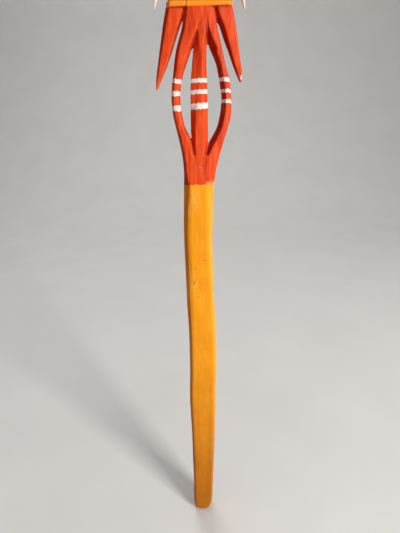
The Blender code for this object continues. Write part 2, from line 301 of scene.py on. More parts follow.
def tine_cuts(table, left_cut, right_cut, most):
    t = np.array(table)
    w = t[:, 2] - t[:, 1]
    lc, rc = np.minimum(w * left_cut, most), np.minimum(w * right_cut, most)
    return lambda z: (np.interp(z, t[:, 0], lc), np.interp(z, t[:, 0], rc))


def centre_cuts(z):
    return (np.interp(z, (396, 420, 440, 450, 458, 488, 498, 510, 524), (0.8, 3.2, 4.0, 4.4, 6.2, 6.4, 4.6, 2.4, 1.6)),
            np.interp(z, (396, 418, 442, 494, 524), (1.6, 2.6, 3.4, 2.6, 2.2)))


def spike_parts(table, seed, mirror=False, cut=(0.24, 0.20), turn=0.0, lee=0.40):
    rows = smooth_table(table, 1.6)
    if mirror:
        rows = np.column_stack([rows[:, 0], -rows[:, 2], -rows[:, 1], rows[:, 3]])
        cut = (cut[1], cut[0])
    w = rows[:, 2] - rows[:, 1]
    return bar(rows, lambda z: (np.interp(z, rows[:, 0], w * cut[0]), np.interp(z, rows[:, 0], w * cut[1])),
               lambda z: (np.interp(z, rows[:, 0], rows[:, 3] * lee), np.interp(z, rows[:, 0], rows[:, 3] * 0.40)),
               lambda z: np.interp(z, rows[:, 0], rows[:, 3]),
               seed, amp=0.18, strokes=(8, 20), turn=turn)


def cut(me, cutter_me, name):
    """The mesh me less the mesh cutter_me, as a new mesh."""
    ob, tool = link(me, name), link(cutter_me, name + "_tool")
    mod = ob.modifiers.new("cut", "BOOLEAN")
    mod.operation, mod.solver, mod.object = "DIFFERENCE", "EXACT", tool
    dg = bpy.context.evaluated_depsgraph_get()
    out = bpy.data.meshes.new_from_object(ob.evaluated_get(dg), depsgraph=dg)
    bpy.data.objects.remove(ob)
    bpy.data.objects.remove(tool)
    return out


# knife-cut notches where the tines part: tip (x, z), then left x, right x and z at the gap, and how deep the cut is there
NOTCHES = ((-5.02, 417.4, -9.1, -4.7, 431.0, 7.4), (2.4, 415.2, 6.9, 13.0, 429.0, 7.4),
           (-0.78, 509.8, -8.4, -3.6, 495.8, 7.2), (4.30, 511.0, 4.6, 12.9, 496.0, 7.4))
SLOTS = ((-6.3, 423.6, -9.3, -7.5, 431.4), (4.6, 420.0, 6.6, 8.3, 428.0))     # cuts right through: tip, then left x, right x and z


def outward(me):
    bm = bmesh.new()
    bm.from_mesh(me)
    bmesh.ops.recalc_face_normals(bm, faces=bm.faces)
    bm.to_mesh(me)
    bm.free()
    return me


def slot_cutter():
    verts, faces = [], []
    for tx, tz, xl, xr, zg in SLOTS:
        base = len(verts)
        for y in (-14.0, 14.0):
            verts += [(tx, y, tz), (xr, y, zg), (xr, y, zg + 2.0), (xl, y, zg + 2.0), (xl, y, zg)]
        faces += [tuple(range(base, base + 5)), tuple(range(base + 9, base + 4, -1))]
        faces += [(base + k, base + (k + 1) % 5, base + 5 + (k + 1) % 5, base + 5 + k) for k in range(5)]
    return outward(mesh_from("slots", verts, faces))


def notch_cutters():
    """Wedges, steep on the left and sloping up to the right, for the front and the back."""
    verts, faces = [], []
    for tx, tz, xl, xr, zg, deep in NOTCHES:
        for side in (-1, 1):
            base, us = len(verts), (0.0, 0.15, 0.3, 0.5, 0.7, 0.85, 1.0, 1.25, 1.5)
            for u in us:
                v, over, z = min(u, 1.0), max(u - 1.0, 0.0), tz + (zg - tz) * u
                l, r = tx + (xl - tx) * v, tx + (xr - tx) * v + 0.45
                d = 0.8 + ((deep if side < 0 else deep * 0.85) - 0.8) * v ** 0.8 - 7.0 * over
                b, t, k = l + 0.14 * (r - l), fork_t(z), (d + 2.0) / d
                verts += [(b, side * (t - d), z), (b + (r - b) * k, side * (t + 2.0), z), (b - (b - l) * k, side * (t + 2.0), z)]
            for n in range(len(us) - 1):
                for k in range(3):
                    a, c = base + n * 3 + k, base + n * 3 + (k + 1) % 3
                    faces.append((a, c, c + 3, a + 3))
            faces += [(base + 2, base + 1, base), tuple(range(len(verts) - 3, len(verts)))]
    return outward(mesh_from("wedges", verts, faces))


def notched(part):
    out = outward(mesh_from("part", *part))
    for cutter in (slot_cutter(), notch_cutters()):
        out = cut(out, cutter, "part")
    return [tuple(q.co) for q in out.vertices], [tuple(q.vertices) for q in out.polygons]


def tenon_with_hole():
    v, f = disc_bar([(TENON_R, 586.0), (TENON_R, TOTAL - 2.2), (TENON_R - 0.7, TOTAL - 0.8), (TENON_R - 2.0, TOTAL)])
    hv, hf = disc_bar([(PIN_R + 0.35, -12.0), (PIN_R + 0.35, 12.0)], 32)
    hv = [(z, y, PIN_Z - x) for x, y, z in hv]
    out = cut(mesh_from("tenon", v, f), mesh_from("drill", hv, hf), "tenon")
    return [tuple(q.co) for q in out.vertices], [tuple(q.vertices) for q in out.polygons]


def stick_mesh():
    parts = []
    hc, ht = np.array(HANDLE_CUTS), np.array(HANDLE_TWIN)
    rows = smooth_table(HANDLE, 2.0)
    parts.append(bar(rows, lambda z: (np.interp(z, hc[:, 0], hc[:, 1]), np.interp(z, hc[:, 0], hc[:, 2])),
                     lambda z: np.interp(z, (0, 6, 20, 200, 392, 417), (3.6, 4.6, 3.6, 4.2, 5.4, 4.6)),
                     lambda z: np.interp(z, rows[:, 0], rows[:, 3]), 1, amp=0.34, strokes=(16, 48),
                     twin=lambda z: (np.interp(z, ht[:, 0], ht[:, 1]), np.interp(z, ht[:, 0], ht[:, 2]))))
    depth_side = lambda z: 3.6
    parts.append(bar(smooth_table(LEFT_TINE, 1.6), tine_cuts(LEFT_TINE, 0.26, 0.18, 2.6), lambda z: (4.4, 3.8), lambda z: fork_t(z), 2, turn=-0.06))
    parts.append(bar(smooth_table(RIGHT_TINE, 1.6), tine_cuts(RIGHT_TINE, 0.42, 0.15, 4.6), lambda z: (6.6, 3.6), lambda z: fork_t(z), 3, turn=0.20))
    parts.append(bar(smooth_table(CENTRE_TINE, 1.6), centre_cuts, lambda z: (float(np.interp(z, (448, 458, 490, 500), (4.6, 2.5, 2.5, 4.2))), 4.4),
                     lambda z: fork_t(z) + 0.05, 4))
    parts = [notched(q) for q in parts]
    parts.append(spike_parts(RED_SPIKE_LEFT, 5, cut=(0.24, 0.10), turn=0.03))
    parts.append(spike_parts(RED_SPIKE_RIGHT, 6, cut=(0.24, 0.10), turn=0.14, lee=0.62))
    parts.append(spike_parts(WHITE_SPIKE, 7))
    parts.append(spike_parts(WHITE_SPIKE, 8, mirror=True))
    rows = smooth_table(NECK, 2.0)
    parts.append(bar(rows, lambda z: (3.4, 3.4), lambda z: 3.4, lambda z: np.interp(z, rows[:, 0], rows[:, 3]), 9, amp=0.3))
    for k, (z0, z1, w) in enumerate(((*BAND_LOW, 24.4), (*BAND_HIGH, 25.3))):
        rows = np.array([(z0, -w + 0.5, w - 0.5), (z0 + 0.7, -w, w), (z1 - 0.7, -w, w), (z1, -w + 0.5, w - 0.5)])
        band = bar(rows, lambda z: (2.6, 2.6), lambda z: 2.6,
                   lambda z, z0=z0, z1=z1: 11.35 + 0.5 * min(1.0, (z - z0) / 0.7, (z1 - z) / 0.7), 10 + k, amp=0.15)
        if k == 0:
            band = ([(bx, by, bz + (0.016 * (bx + 24.4) if bz < z0 + 1.0 else 0.0)) for bx, by, bz in band[0]], band[1])
        parts.append(band)
    parts.append(disc_bar([(SHOULDER_R, 581.0), (SHOULDER_R, SHOULDER_TOP - 0.6), (SHOULDER_R - 0.6, SHOULDER_TOP)]))
    parts.append(tenon_with_hole())
    verts, faces = [], []
    for v, f in parts:
        n = len(verts)
        verts += v
        faces += [tuple(i + n for i in q) for q in f]
    return mesh_from("stick_blank", np.array(verts) * MM, faces)


def remeshed(me, voxel):
    ob = link(me, "blank")
    mod = ob.modifiers.new("voxels", "REMESH")
    mod.mode, mod.voxel_size, mod.adaptivity = "VOXEL", voxel, 0.0
    dg = bpy.context.evaluated_depsgraph_get()
    out = bpy.data.meshes.new_from_object(ob.evaluated_get(dg), depsgraph=dg)
    bpy.data.objects.remove(ob)
    return out



def convexity(me, p, rounds=7):
    """How far each point stands out of its surroundings, in the mesh's units: edges are positive, creases negative."""
    e, n = edge_array(me), len(p)
    q = p.copy()
    for _ in range(rounds):
        q = neighbour_mean(e, q, n)
    return np.einsum("ij,ij->i", p - q, normals(me))


WHITE_BANDS = (           # the tine's left and right x, then the top edge's and the bottom edge's height at both
    (-23.2, -15.2, 474.8, 473.9, 472.0, 470.4), (-23.2, -15.2, 465.7, 465.5, 461.8, 462.1),
    (-23.2, -15.2, 454.7, 455.3, 451.3, 450.5),
    (-7.8, 6.2, 474.3, 475.0, 471.4, 471.7), (-7.8, 6.2, 466.3, 466.8, 463.3, 463.5),
    (-7.8, 6.2, 456.3, 457.2, 451.9, 452.7),
    (15.6, 25.2, 475.2, 475.1, 472.5, 471.6), (15.6, 25.2, 466.9, 466.7, 464.5, 464.0),
    (15.6, 25.2, 459.5, 459.3, 457.0, 456.3),
)


def box_field(a, lo, hi):
    return np.minimum(a - lo, hi - a)


def make_stick():
    me = remeshed(stick_mesh(), (0.62) * MM)
    me.name = "stick_carved"
    p = coords(me) / MM
    e, n = edge_array(me), len(p)
    for _ in range(2):                       # takes the voxel steps off, and softens edges as paint does
        p = p * 0.5 + neighbour_mean(e, p, n) * 0.5
    set_coords(me, p * MM)
    nor = normals(me)
    turned = smooth_step(583, 588, p[:, 2])
    shaved = (0.11 * lattice_noise(p / (5.2, 5.2, 21.0), 3) + 0.06 * lattice_noise(p / (2.1, 2.1, 8.0), 4))
    lathe = 0.05 * lattice_noise(p / (9.0, 9.0, 1.6), 5)
    push = shaved * (1 - turned) + lathe * turned
    # a saw nick between the left spike's root and the block, which runs up across the ledge
    x, y, z = p.T
    lean = -10.1 + (z - 521.0) * 0.05
    for side in (-1, 1):
        near = np.exp(-((x - lean) / 0.42) ** 2) * smooth_step(513, 517, z) * (1 - smooth_step(528, 531, z))
        near *= np.where(y * side > 6.5, 1.0, 0.0)
        push -= near * (0.95 if side < 0 else 0.6)
    near = np.exp(-((x - 9.9 - (521 - z) * 0.30) / 0.5) ** 2) * smooth_step(514, 517, z) * (1 - smooth_step(521.4, 522.2, z))
    push -= near * np.where(y < -6.5, 1.1, np.where(y > 6.5, 0.8, 0.0))
    # small torn chips at the upper crotches
    for cx, cy, cz, r, deep in ((4.3, -10.6, 511.0, 1.1, 0.8), (5.1, -10.6, 507.6, 0.9, 0.6), (-1.0, -10.6, 510.4, 0.8, 0.5),
                                (33.0, -2.0, 475.2, 1.6, 0.5), (-5.2, -10.6, 419.5, 0.9, 0.4), (2.6, 10.6, 510.0, 1.2, 0.8),
                                (-2.5, -11.0, 300.0, 1.3, 0.22), (-6.5, -11.2, 316.0, 0.9, 0.35), (1.0, -10.8, 409.0, 1.8, 0.22)):
        push -= deep * np.exp(-((x - cx) ** 2 + (y - cy) ** 2 + ((z - cz) / 1.8) ** 2) / r ** 2)
    base = smooth_step(0.2, 1.5, z)          # the butt stays flat on the floor
    p = p + nor * (push * base)[:, None]
    p[:, 2] = np.clip(p[:, 2], 0.0, TOTAL)
    set_coords(me, p * MM)
    me.shade_smooth()

    x, y, z = p.T
    nor = normals(me)
    edge = convexity(me, p)
    attribute(me, "edge", edge)
    line = RED_LINE + 1.2 + 1.1 * smooth_step(4.5, 8.0, x) - 0.8 * smooth_step(-8.0, -11.0, x) + 0.25 * np.sin(x * 0.9 + y * 0.7)
    attribute(me, "f_red", np.minimum(z - line, BAND_LOW[0] + 0.15 + 0.016 * (x + 24.4) - z))
    attribute(me, "f_ledge", np.maximum(box_field(z, BAND_LOW[0] + 0.1 + 0.016 * (x + 24.4), BAND_LOW[1] - 0.1), box_field(z, BAND_HIGH[0] + 0.1, BAND_HIGH[1] + 0.3)))
    white = np.full(n, -9.0)
    for x0, x1, tl, tr, bl, br in WHITE_BANDS:
        u = np.clip((x - x0) / (x1 - x0), 0, 1)
        wav = 0.22 * np.sin(x * 1.7 + tl) + 0.18 * np.sin(y * 0.9 + x0)
        band = np.minimum(tl + (tr - tl) * u + wav - z, z - (bl + (br - bl) * u + 0.8 * wav))
        white = np.maximum(white, np.where((x > x0 - 2.4) & (x < x1 + 2.4), band, -9.0))
    neck_edge = np.interp(z, [r[0] for r in sorted(NECK)], [r[2] for r in sorted(NECK)])
    inner = np.interp(z, [r[0] for r in sorted(WHITE_SPIKE)], [r[1] for r in sorted(WHITE_SPIKE)])
    side = np.abs(x) - (neck_edge + inner) / 2
    spikes = np.minimum(np.minimum(z - 517.0, BAND_HIGH[0] + 0.1 - z), side)
    spikes = np.where(z < BAND_LOW[1] + 1.5, np.minimum(spikes, np.abs(x) - 27.5), spikes)
    attribute(me, "f_white", np.maximum(white, spikes))
    attribute(me, "f_neck", np.minimum(z - (BAND_LOW[1] - 0.1), BAND_HIGH[0] - z))
    attribute(me, "f_bare", z - (BAND_HIGH[1] + 0.35))
    # rubbed and chipped spots: the spikes' tips and the butt
    worn = np.zeros(n)
    for cx, cy, cz, r, k in ((-34.6, -1.0, 466.2, 1.5, 0.72), (33.1, -2.6, 475.4, 1.5, 1.15), (32.6, -1.0, 471.4, 0.9, 0.8),
                             (34.0, 0, 521.6, 1.6, 0.5), (-34.0, 0, 521.6, 1.6, 0.4), (-11.6, -7.0, 2.0, 2.2, 0.7),
                             (10.4, 8.0, 1.6, 2.4, 0.7)):
        worn = np.maximum(worn, k * np.exp(-((x - cx) ** 2 + (y - cy) ** 2 * 0.6 + (z - cz) ** 2 * 0.5) / r ** 2))
    attribute(me, "worn", worn)
    soil = np.zeros(n)
    for cx, cz, rx, rz, k in ((-10.0, 320.4, 0.75, 0.7, 1.25), (-8.8, 319.8, 0.6, 0.6, 0.9), (-9.9, 316.0, 0.75, 0.7, 1.2), (-8.7, 315.4, 0.6, 0.6, 0.85),
                              (-6.6, 302.0, 0.9, 2.8, 1.0), (-6.9, 296.4, 0.7, 1.8, 0.85), (-4.9, 292.0, 1.0, 1.7, 0.74), (-2.8, 288.4, 1.2, 1.3, 0.68),
                              (-0.4, 285.2, 1.3, 1.1, 0.64), (3.0, 324.6, 3.0, 0.7, 0.82), (-1.4, 327.0, 1.4, 0.7, 0.68), (6.4, 322.2, 1.8, 0.6, 0.66),
                              (1.0, 231.6, 10.0, 0.55, 0.60), (-9.0, 343.0, 0.5, 9.0, 0.52), (3.0, 262.0, 0.5, 8.0, 0.5),
                              (1.9, 511.6, 1.0, 0.8, 0.95), (3.2, 509.4, 0.8, 1.8, 1.0), (2.9, 506.8, 0.7, 1.3, 0.85), (10.2, 519.2, 0.8, 2.6, 0.95),
                              (-8.8, 517.0, 0.7, 3.0, 0.8)):
        soil = np.maximum(soil, k * np.exp(-(((x - cx) / rx) ** 2 + ((z - cz) / rz) ** 2)) * (y < 0))
    attribute(me, "soil", np.maximum(soil, 0.50 * (1 - smooth_step(0.0, 4.0, z))))
    # painted shade: facets that face left, away from the key light, get a darker, redder paint
    lee = smooth_step(0.35, 0.8, -nor[:, 0]) * (0.8 + 0.2 * lattice_noise(p / (6.0, 6.0, 30.0), 8))
    attribute(me, "lee", lee)
    attribute(me, "wash", smooth_step(3.6, 5.4, x) * smooth_step(391.6, 392.6, z) * (1 - smooth_step(393.6, 396.6, z)) * (y < 4))
    swirl = np.exp(-((x + 5.2) / 3.6) ** 2 - ((z - 379.0) / 9.0) ** 2)
    swirl = np.maximum(swirl, 0.85 * np.exp(-((x - 0.6) / 3.0) ** 2 - ((z - 408.0) / 5.5) ** 2))
    attribute(me, "swirl", swirl * (y < 0))
    # painted light: facets that face right, towards the key light, get a lighter ochre
    attribute(me, "painted_lit_side", smooth_step(0.45, 0.85, nor[:, 0]))
    # painted shade: the right tine's left-facing inner facet, in the centre tine's shadow, gets a much darker red
    attribute(me, "deep", smooth_step(0.35, 0.7, -nor[:, 0]) * smooth_step(1.5, 3.5, x) * (z > 413) * (z < 523))
    attribute(me, "lap", 1 - smooth_step(-1.2, 1.2, z - 231.6 - 0.18 * x - 0.6 * np.sin(x * 0.5)))
    # darker towards the bottom: 1 at the foot, fading out by about 235 mm
    attribute(me, "foot", 1 - smooth_step(10.0, 235.0, z + 9.0 * np.sin(x * 0.4 + 1.0) + 6.0 * np.sin(y * 0.5)))
    return me


# =====================================================================================
# materials
# =====================================================================================
def lin(r, g, b):
    f = lambda v: v / 255 / 12.92 if v <= 10.3 else ((v / 255 + 0.055) / 1.055) ** 2.4
    return (f(r), f(g), f(b), 1.0)


class Nodes:
    """A short hand for building a material's nodes."""

    def __init__(self, name):
        self.mat = bpy.data.materials.new(name)
        self.mat.use_nodes = True
        self.t = self.mat.node_tree
        self.t.nodes.clear()
        self.out = self.t.nodes.new("ShaderNodeOutputMaterial")
        self.bsdf = self.t.nodes.new("ShaderNodeBsdfPrincipled")
        self.t.links.new(self.bsdf.outputs[0], self.out.inputs[0])
        self.object_co = self.t.nodes.new("ShaderNodeTexCoord").outputs["Object"]

    def plug(self, socket, value):
        if isinstance(value, bpy.types.NodeSocket):
            self.t.links.new(value, socket)
        elif value is not None:
            socket.default_value = value

    def math(self, op, a, b=None, c=None, clamp=False):
        n = self.t.nodes.new("ShaderNodeMath")
        n.operation, n.use_clamp = op, clamp
        for i, v in enumerate((a, b, c)):
            self.plug(n.inputs[i], v)
        return n.outputs[0]

    def stretch(self, scale):
        n = self.t.nodes.new("ShaderNodeMapping")
        self.t.links.new(self.object_co, n.inputs["Vector"])
        n.inputs["Scale"].default_value = scale
        return n.outputs[0]

    def around(self, tight):
        """Coordinates for strokes that run round the Z axis: a turn is as long as a circle of radius tight."""
        t = self.t
        sep, com = t.nodes.new("ShaderNodeSeparateXYZ"), t.nodes.new("ShaderNodeCombineXYZ")
        t.links.new(self.object_co, sep.inputs[0])
        t.links.new(sep.outputs[0], com.inputs[0])
        t.links.new(sep.outputs[1], com.inputs[1])
        unit, small, rise, both = (t.nodes.new("ShaderNodeVectorMath") for _ in range(4))
        unit.operation, small.operation, rise.operation, both.operation = "NORMALIZE", "SCALE", "MULTIPLY", "ADD"
        t.links.new(com.outputs[0], unit.inputs[0])
        t.links.new(unit.outputs[0], small.inputs[0])
        small.inputs["Scale"].default_value = tight
        t.links.new(self.object_co, rise.inputs[0])
        rise.inputs[1].default_value = (0, 0, 1)
        t.links.new(small.outputs[0], both.inputs[0])
        t.links.new(rise.outputs[0], both.inputs[1])
        return both.outputs[0]

    def vector(self, x, y, z):
        n = self.t.nodes.new("ShaderNodeCombineXYZ")
        for i, v in enumerate((x, y, z)):
            self.plug(n.inputs[i], v)
        return n.outputs[0]

    def noise(self, scale, detail=2.0, rough=0.5, at=None, distort=0.0):
        n = self.t.nodes.new("ShaderNodeTexNoise")
        n.inputs["Scale"].default_value = scale
        n.inputs["Detail"].default_value = detail
        n.inputs["Roughness"].default_value = rough
        n.inputs["Distortion"].default_value = distort
        self.t.links.new(at or self.object_co, n.inputs["Vector"])
        return n.outputs["Fac"]

    def voronoi(self, scale, at=None, feature="F1"):
        n = self.t.nodes.new("ShaderNodeTexVoronoi")
        n.feature = feature
        n.inputs["Scale"].default_value = scale
        self.t.links.new(at or self.object_co, n.inputs["Vector"])
        return n.outputs["Distance"]

    def attr(self, name):
        n = self.t.nodes.new("ShaderNodeAttribute")
        n.attribute_name = name
        return n.outputs["Fac"]

    def remap(self, v, a, b, c=0.0, d=1.0, smooth=True):
        n = self.t.nodes.new("ShaderNodeMapRange")
        n.interpolation_type = "SMOOTHSTEP" if smooth else "LINEAR"
        self.plug(n.inputs["Value"], v)
        for k, x in (("From Min", a), ("From Max", b), ("To Min", c), ("To Max", d)):
            n.inputs[k].default_value = x
        return n.outputs[0]

    def mix(self, fac, a, b, blend="MIX"):
        n = self.t.nodes.new("ShaderNodeMix")
        n.data_type, n.blend_type = "RGBA", blend
        self.plug(n.inputs[0], fac)
        self.plug(n.inputs[6], a)
        self.plug(n.inputs[7], b)
        return n.outputs[2]

    def shade(self, colour, amount):
        """colour times amount, one number."""
        n = self.t.nodes.new("ShaderNodeVectorMath")
        n.operation = "SCALE"
        self.plug(n.inputs[0], colour[:3] if isinstance(colour, tuple) else colour)
        self.plug(n.inputs["Scale"], amount)
        return n.outputs[0]

    def bump(self, height, distance, strength=1.0, chain=None):
        n = self.t.nodes.new("ShaderNodeBump")
        n.inputs["Strength"].default_value = strength
        n.inputs["Distance"].default_value = distance
        self.plug(n.inputs["Height"], height)
        if chain is not None:
            self.t.links.new(chain, n.inputs["Normal"])
        return n.outputs[0]

    def finish(self, colour, roughness, normal=None, specular=0.4, sheen=0.0):
        self.plug(self.bsdf.inputs["Base Color"], colour)
        self.plug(self.bsdf.inputs["Roughness"], roughness)
        self.bsdf.inputs["Specular IOR Level"].default_value = specular
        if sheen:
            self.bsdf.inputs["Sheen Weight"].default_value = sheen
            self.bsdf.inputs["Sheen Roughness"].default_value = 0.6
        if normal is not None:
            self.t.links.new(normal, self.bsdf.inputs["Normal"])
        return self.mat


OCHRE, OCHRE_LIGHT, OCHRE_BROWN, OCHRE_DEEP = (0.90, 0.322, 0.006, 1), (0.93, 0.375, 0.017, 1), (0.76, 0.220, 0.003, 1), (0.58, 0.150, 0.003, 1)
LEDGE, RED, RED_LIGHT, RED_DEEP = (0.94, 0.275, 0.014, 1), (0.71, 0.056, 0.0075, 1), (0.82, 0.086, 0.016, 1), (0.53, 0.026, 0.003, 1)
WHITE = (0.83, 0.72, 0.67, 1)


def painted_stick():
    m = Nodes("hand_painted_stick")
    fibre = m.noise(900, 3, 0.6, m.stretch((1, 1, 0.045)))          # wood fibres under the paint
    brush = m.noise(420, 3, 0.55, m.stretch((1, 1, 0.10)), 0.3)     # brush hairs, drawn along the stick
    across = m.noise(380, 2, 0.5, m.stretch((0.12, 0.12, 1)), 0.3)  # and across it on the bands
    blotch = m.noise(55, 3, 0.55)
    patch = m.noise(16, 2, 0.5, m.stretch((1, 1, 0.5)))
    fine = m.noise(2600, 2, 0.5)
    ragged = m.math("ADD", m.math("MULTIPLY", m.math("SUBTRACT", m.noise(430, 2, 0.6), 0.5), 1.15),
                    m.math("MULTIPLY", m.math("SUBTRACT", m.noise(1900, 2, 0.6, m.stretch((1, 1, 0.3))), 0.5), 0.55))

    def mask(name, soft=0.10, wander=1.0):
        return m.remap(m.math("ADD", m.attr(name), m.math("MULTIPLY", ragged, wander)), -soft, soft)

    red, ledge, white, neck, bare = mask("f_red", 0.14, 0.6), mask("f_ledge", 0.12, 0.5), mask("f_white", 0.12), mask("f_neck", 0.12, 0.5), mask("f_bare", 0.15, 0.9)

    tone = m.math("ADD", m.remap(blotch, 0.25, 0.75, 0.93, 1.06, False), m.math("MULTIPLY", m.math("SUBTRACT", brush, 0.5), 0.34))
    tone = m.math("ADD", tone, m.math("MULTIPLY", m.math("SUBTRACT", fibre, 0.5), m.math("ADD", 0.12, m.math("MULTIPLY", red, 0.22))))
    tone = m.math("MULTIPLY", tone, m.remap(patch, 0.3, 0.7, 0.95, 1.04, False))
    wood = m.mix(m.remap(fibre, 0.3, 0.7), (0.38, 0.21, 0.10, 1), (0.62, 0.41, 0.23, 1))
    ochre = m.mix(m.remap(m.noise(130, 3, 0.6, m.stretch((1, 1, 0.35))), 0.42, 0.68, 0, 0.75), OCHRE, OCHRE_LIGHT)
    ochre = m.mix(m.remap(brush, 0.56, 0.72, 0, 0.45), ochre, OCHRE_BROWN)
    ochre = m.mix(m.math("MULTIPLY", m.attr("lap"), 0.16), ochre, OCHRE_BROWN)
    # painted light on the right-facing facets of the ochre
    ochre = m.mix(m.math("MULTIPLY", m.attr("painted_lit_side"), 0.7), ochre, (0.96, 0.45, 0.055, 1))
    # painted shade on the left-facing facets of the ochre
    ochre = m.mix(m.math("MULTIPLY", m.attr("lee"), 0.92), ochre, (0.86, 0.165, 0.001, 1))
    # the neck between the ledges is painted a deeper ochre, partly as painted shade under the head
    colour = m.mix(neck, ochre, OCHRE_DEEP)
    red_colour = m.mix(m.remap(brush, 0.38, 0.64, 0, 0.85), RED, RED_LIGHT)
    red_colour = m.mix(m.remap(m.noise(260, 3, 0.6, m.stretch((1, 1, 0.12))), 0.52, 0.68, 0, 0.7), red_colour, RED_DEEP)
    # painted shade on the left-facing facets of the red
    red_colour = m.mix(m.math("MULTIPLY", m.attr("lee"), 0.8), red_colour, (0.60, 0.022, 0.001, 1))
    # painted shade on the right tine's inner facet
    red_colour = m.mix(m.math("MULTIPLY", m.attr("deep"), 0.75), red_colour, (0.26, 0.007, 0.001, 1))
    marks = m.math("MULTIPLY", m.attr("swirl"), m.remap(m.noise(330, 2, 0.6, distort=2.2), 0.47, 0.56))
    colour = m.mix(m.math("MULTIPLY", marks, 0.8), colour, (0.96, 0.50, 0.12, 1))
    red_colour = m.mix(m.math("MULTIPLY", marks, 0.55), red_colour, (0.84, 0.19, 0.10, 1))
    colour = m.mix(red, colour, red_colour)
    washed = m.math("MULTIPLY", m.attr("wash"), m.remap(m.noise(500, 3, 0.6), 0.30, 0.55, 0.35, 0.95))
    colour = m.mix(washed, colour, (0.95, 0.30, 0.085, 1))
    colour = m.mix(ledge, colour, m.mix(m.remap(across, 0.4, 0.7, 0, 0.6), LEDGE, (0.88, 0.39, 0.055, 1)))
    thin = m.math("MULTIPLY", white, m.remap(across, 0.62, 0.80, 1.0, 0.86))
    colour = m.mix(thin, colour, m.mix(m.remap(across, 0.3, 0.7), WHITE, (0.87, 0.80, 0.76, 1)))
    colour = m.mix(bare, colour, wood)
    colour = m.shade(colour, tone)
    # worn edges: first the paint thins, then wood shows
    edge = m.math("ADD", m.attr("edge"), m.math("MULTIPLY", m.math("SUBTRACT", m.noise(700, 3, 0.65), 0.5), 0.34))
    edge = m.math("ADD", edge, m.math("MULTIPLY", m.math("SUBTRACT", m.noise(70, 2, 0.5), 0.5), 0.30))
    rubbed = m.remap(edge, 0.20, 0.38, 0, 0.26)
    colour = m.mix(m.math("MULTIPLY", rubbed, m.math("SUBTRACT", 1.0, bare)), colour, m.mix(0.5, colour, (0.95, 0.62, 0.36, 1)))
    chip = m.remap(m.math("ADD", m.attr("worn"), m.math("MULTIPLY", m.math("SUBTRACT", m.noise(900, 3, 0.7), 0.5), 0.7)), 0.48, 0.66)
    colour = m.mix(chip, colour, m.mix(m.remap(fibre, 0.3, 0.7), (0.78, 0.60, 0.46, 1), (0.88, 0.76, 0.64, 1)))
    # painted shade in the creases; dirt specks and small smudges
    crease_shade = m.remap(m.attr("edge"), -0.26, -0.06, 0.55, 0.0)
    speck = m.math("MULTIPLY", m.remap(m.voronoi(210), 0.05, 0.11, 1.0, 0.0), m.remap(m.noise(38, 1, 0.5), 0.56, 0.66))
    soil = m.remap(m.math("ADD", m.attr("soil"), m.math("MULTIPLY", m.math("SUBTRACT", m.noise(1100, 3, 0.7), 0.5), 0.9)), 0.42, 0.85, 0, 0.75)
    shade_and_dirt = m.math("MAXIMUM", m.math("MAXIMUM", crease_shade, m.math("MULTIPLY", speck, 0.55)), soil)
    colour = m.mix(shade_and_dirt, colour, m.mix(0.80, colour, (0.09, 0.035, 0.012, 1)))
    # darker and browner towards the bottom, in brown and olive blotches
    bottom_darkening = m.math("ADD", m.attr("foot"), m.math("MULTIPLY", m.math("SUBTRACT", m.noise(60, 4, 0.6, m.stretch((1, 1, 0.4))), 0.5), 0.5))
    tint = m.mix(m.remap(m.noise(85, 2, 0.5, m.stretch((1, 1, 0.35))), 0.50, 0.66), (0.58, 0.47, 0.15, 1), (0.50, 0.50, 0.10, 1))
    tint = m.mix(m.remap(m.noise(140, 2, 0.5, m.stretch((1, 1, 0.3))), 0.60, 0.74, 0, 0.6), tint, (0.66, 0.40, 0.20, 1))
    colour = m.mix(m.remap(bottom_darkening, 0.08, 0.95, 0, 1, False), colour, m.mix(1.0, colour, tint, "MULTIPLY"))

    height = m.math("ADD", m.math("MULTIPLY", brush, 0.55), m.math("MULTIPLY", fibre, 0.45))
    n1 = m.bump(height, 0.00016, 0.55)
    n2 = m.bump(m.noise(1500, 3, 0.6, m.stretch((1, 1, 0.2))), 0.00005, 0.5, n1)
    layers = m.math("ADD", m.math("ADD", red, m.math("MULTIPLY", white, 1.6)), m.math("MULTIPLY", ledge, 0.8))
    n3 = m.bump(m.math("SUBTRACT", layers, m.math("MULTIPLY", chip, 1.5)), 0.00010, 0.8, n2)
    rough = m.math("ADD", m.remap(brush, 0.3, 0.7, 0.46, 0.58, False), m.math("MULTIPLY", m.math("MAXIMUM", bare, chip), 0.22))
    rough = m.math("ADD", rough, m.math("MULTIPLY", m.math("SUBTRACT", fine, 0.5), 0.08), clamp=True)
    return m.finish(colour, rough, n3, specular=0.17)


stick = link(make_stick(), "carved_stick")
stick.data.materials.append(painted_stick())
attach(stick, "body")
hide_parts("stick")

# =====================================================================================
# the head: two turned half-shells with a tool's marks on them, painted
# =====================================================================================
SPIKES = 12
GROOVE_LOW = math.asin(11.4 / HEAD_H)           # angles up from the equator
GROOVE_HIGH = math.acos(21.0 / HEAD_R)
HEAD_DENTS = ((0.9, 0.62, 2.0, 0.34), (2.2, 0.40, 1.5, 0.28), (3.7, 0.85, 2.4, 0.30), (4.6, 0.52, 1.7, 0.36), (5.6, 0.98, 1.6, 0.26),
              (4.95, 0.33, 1.3, 0.22), (1.6, 1.12, 1.5, 0.30))


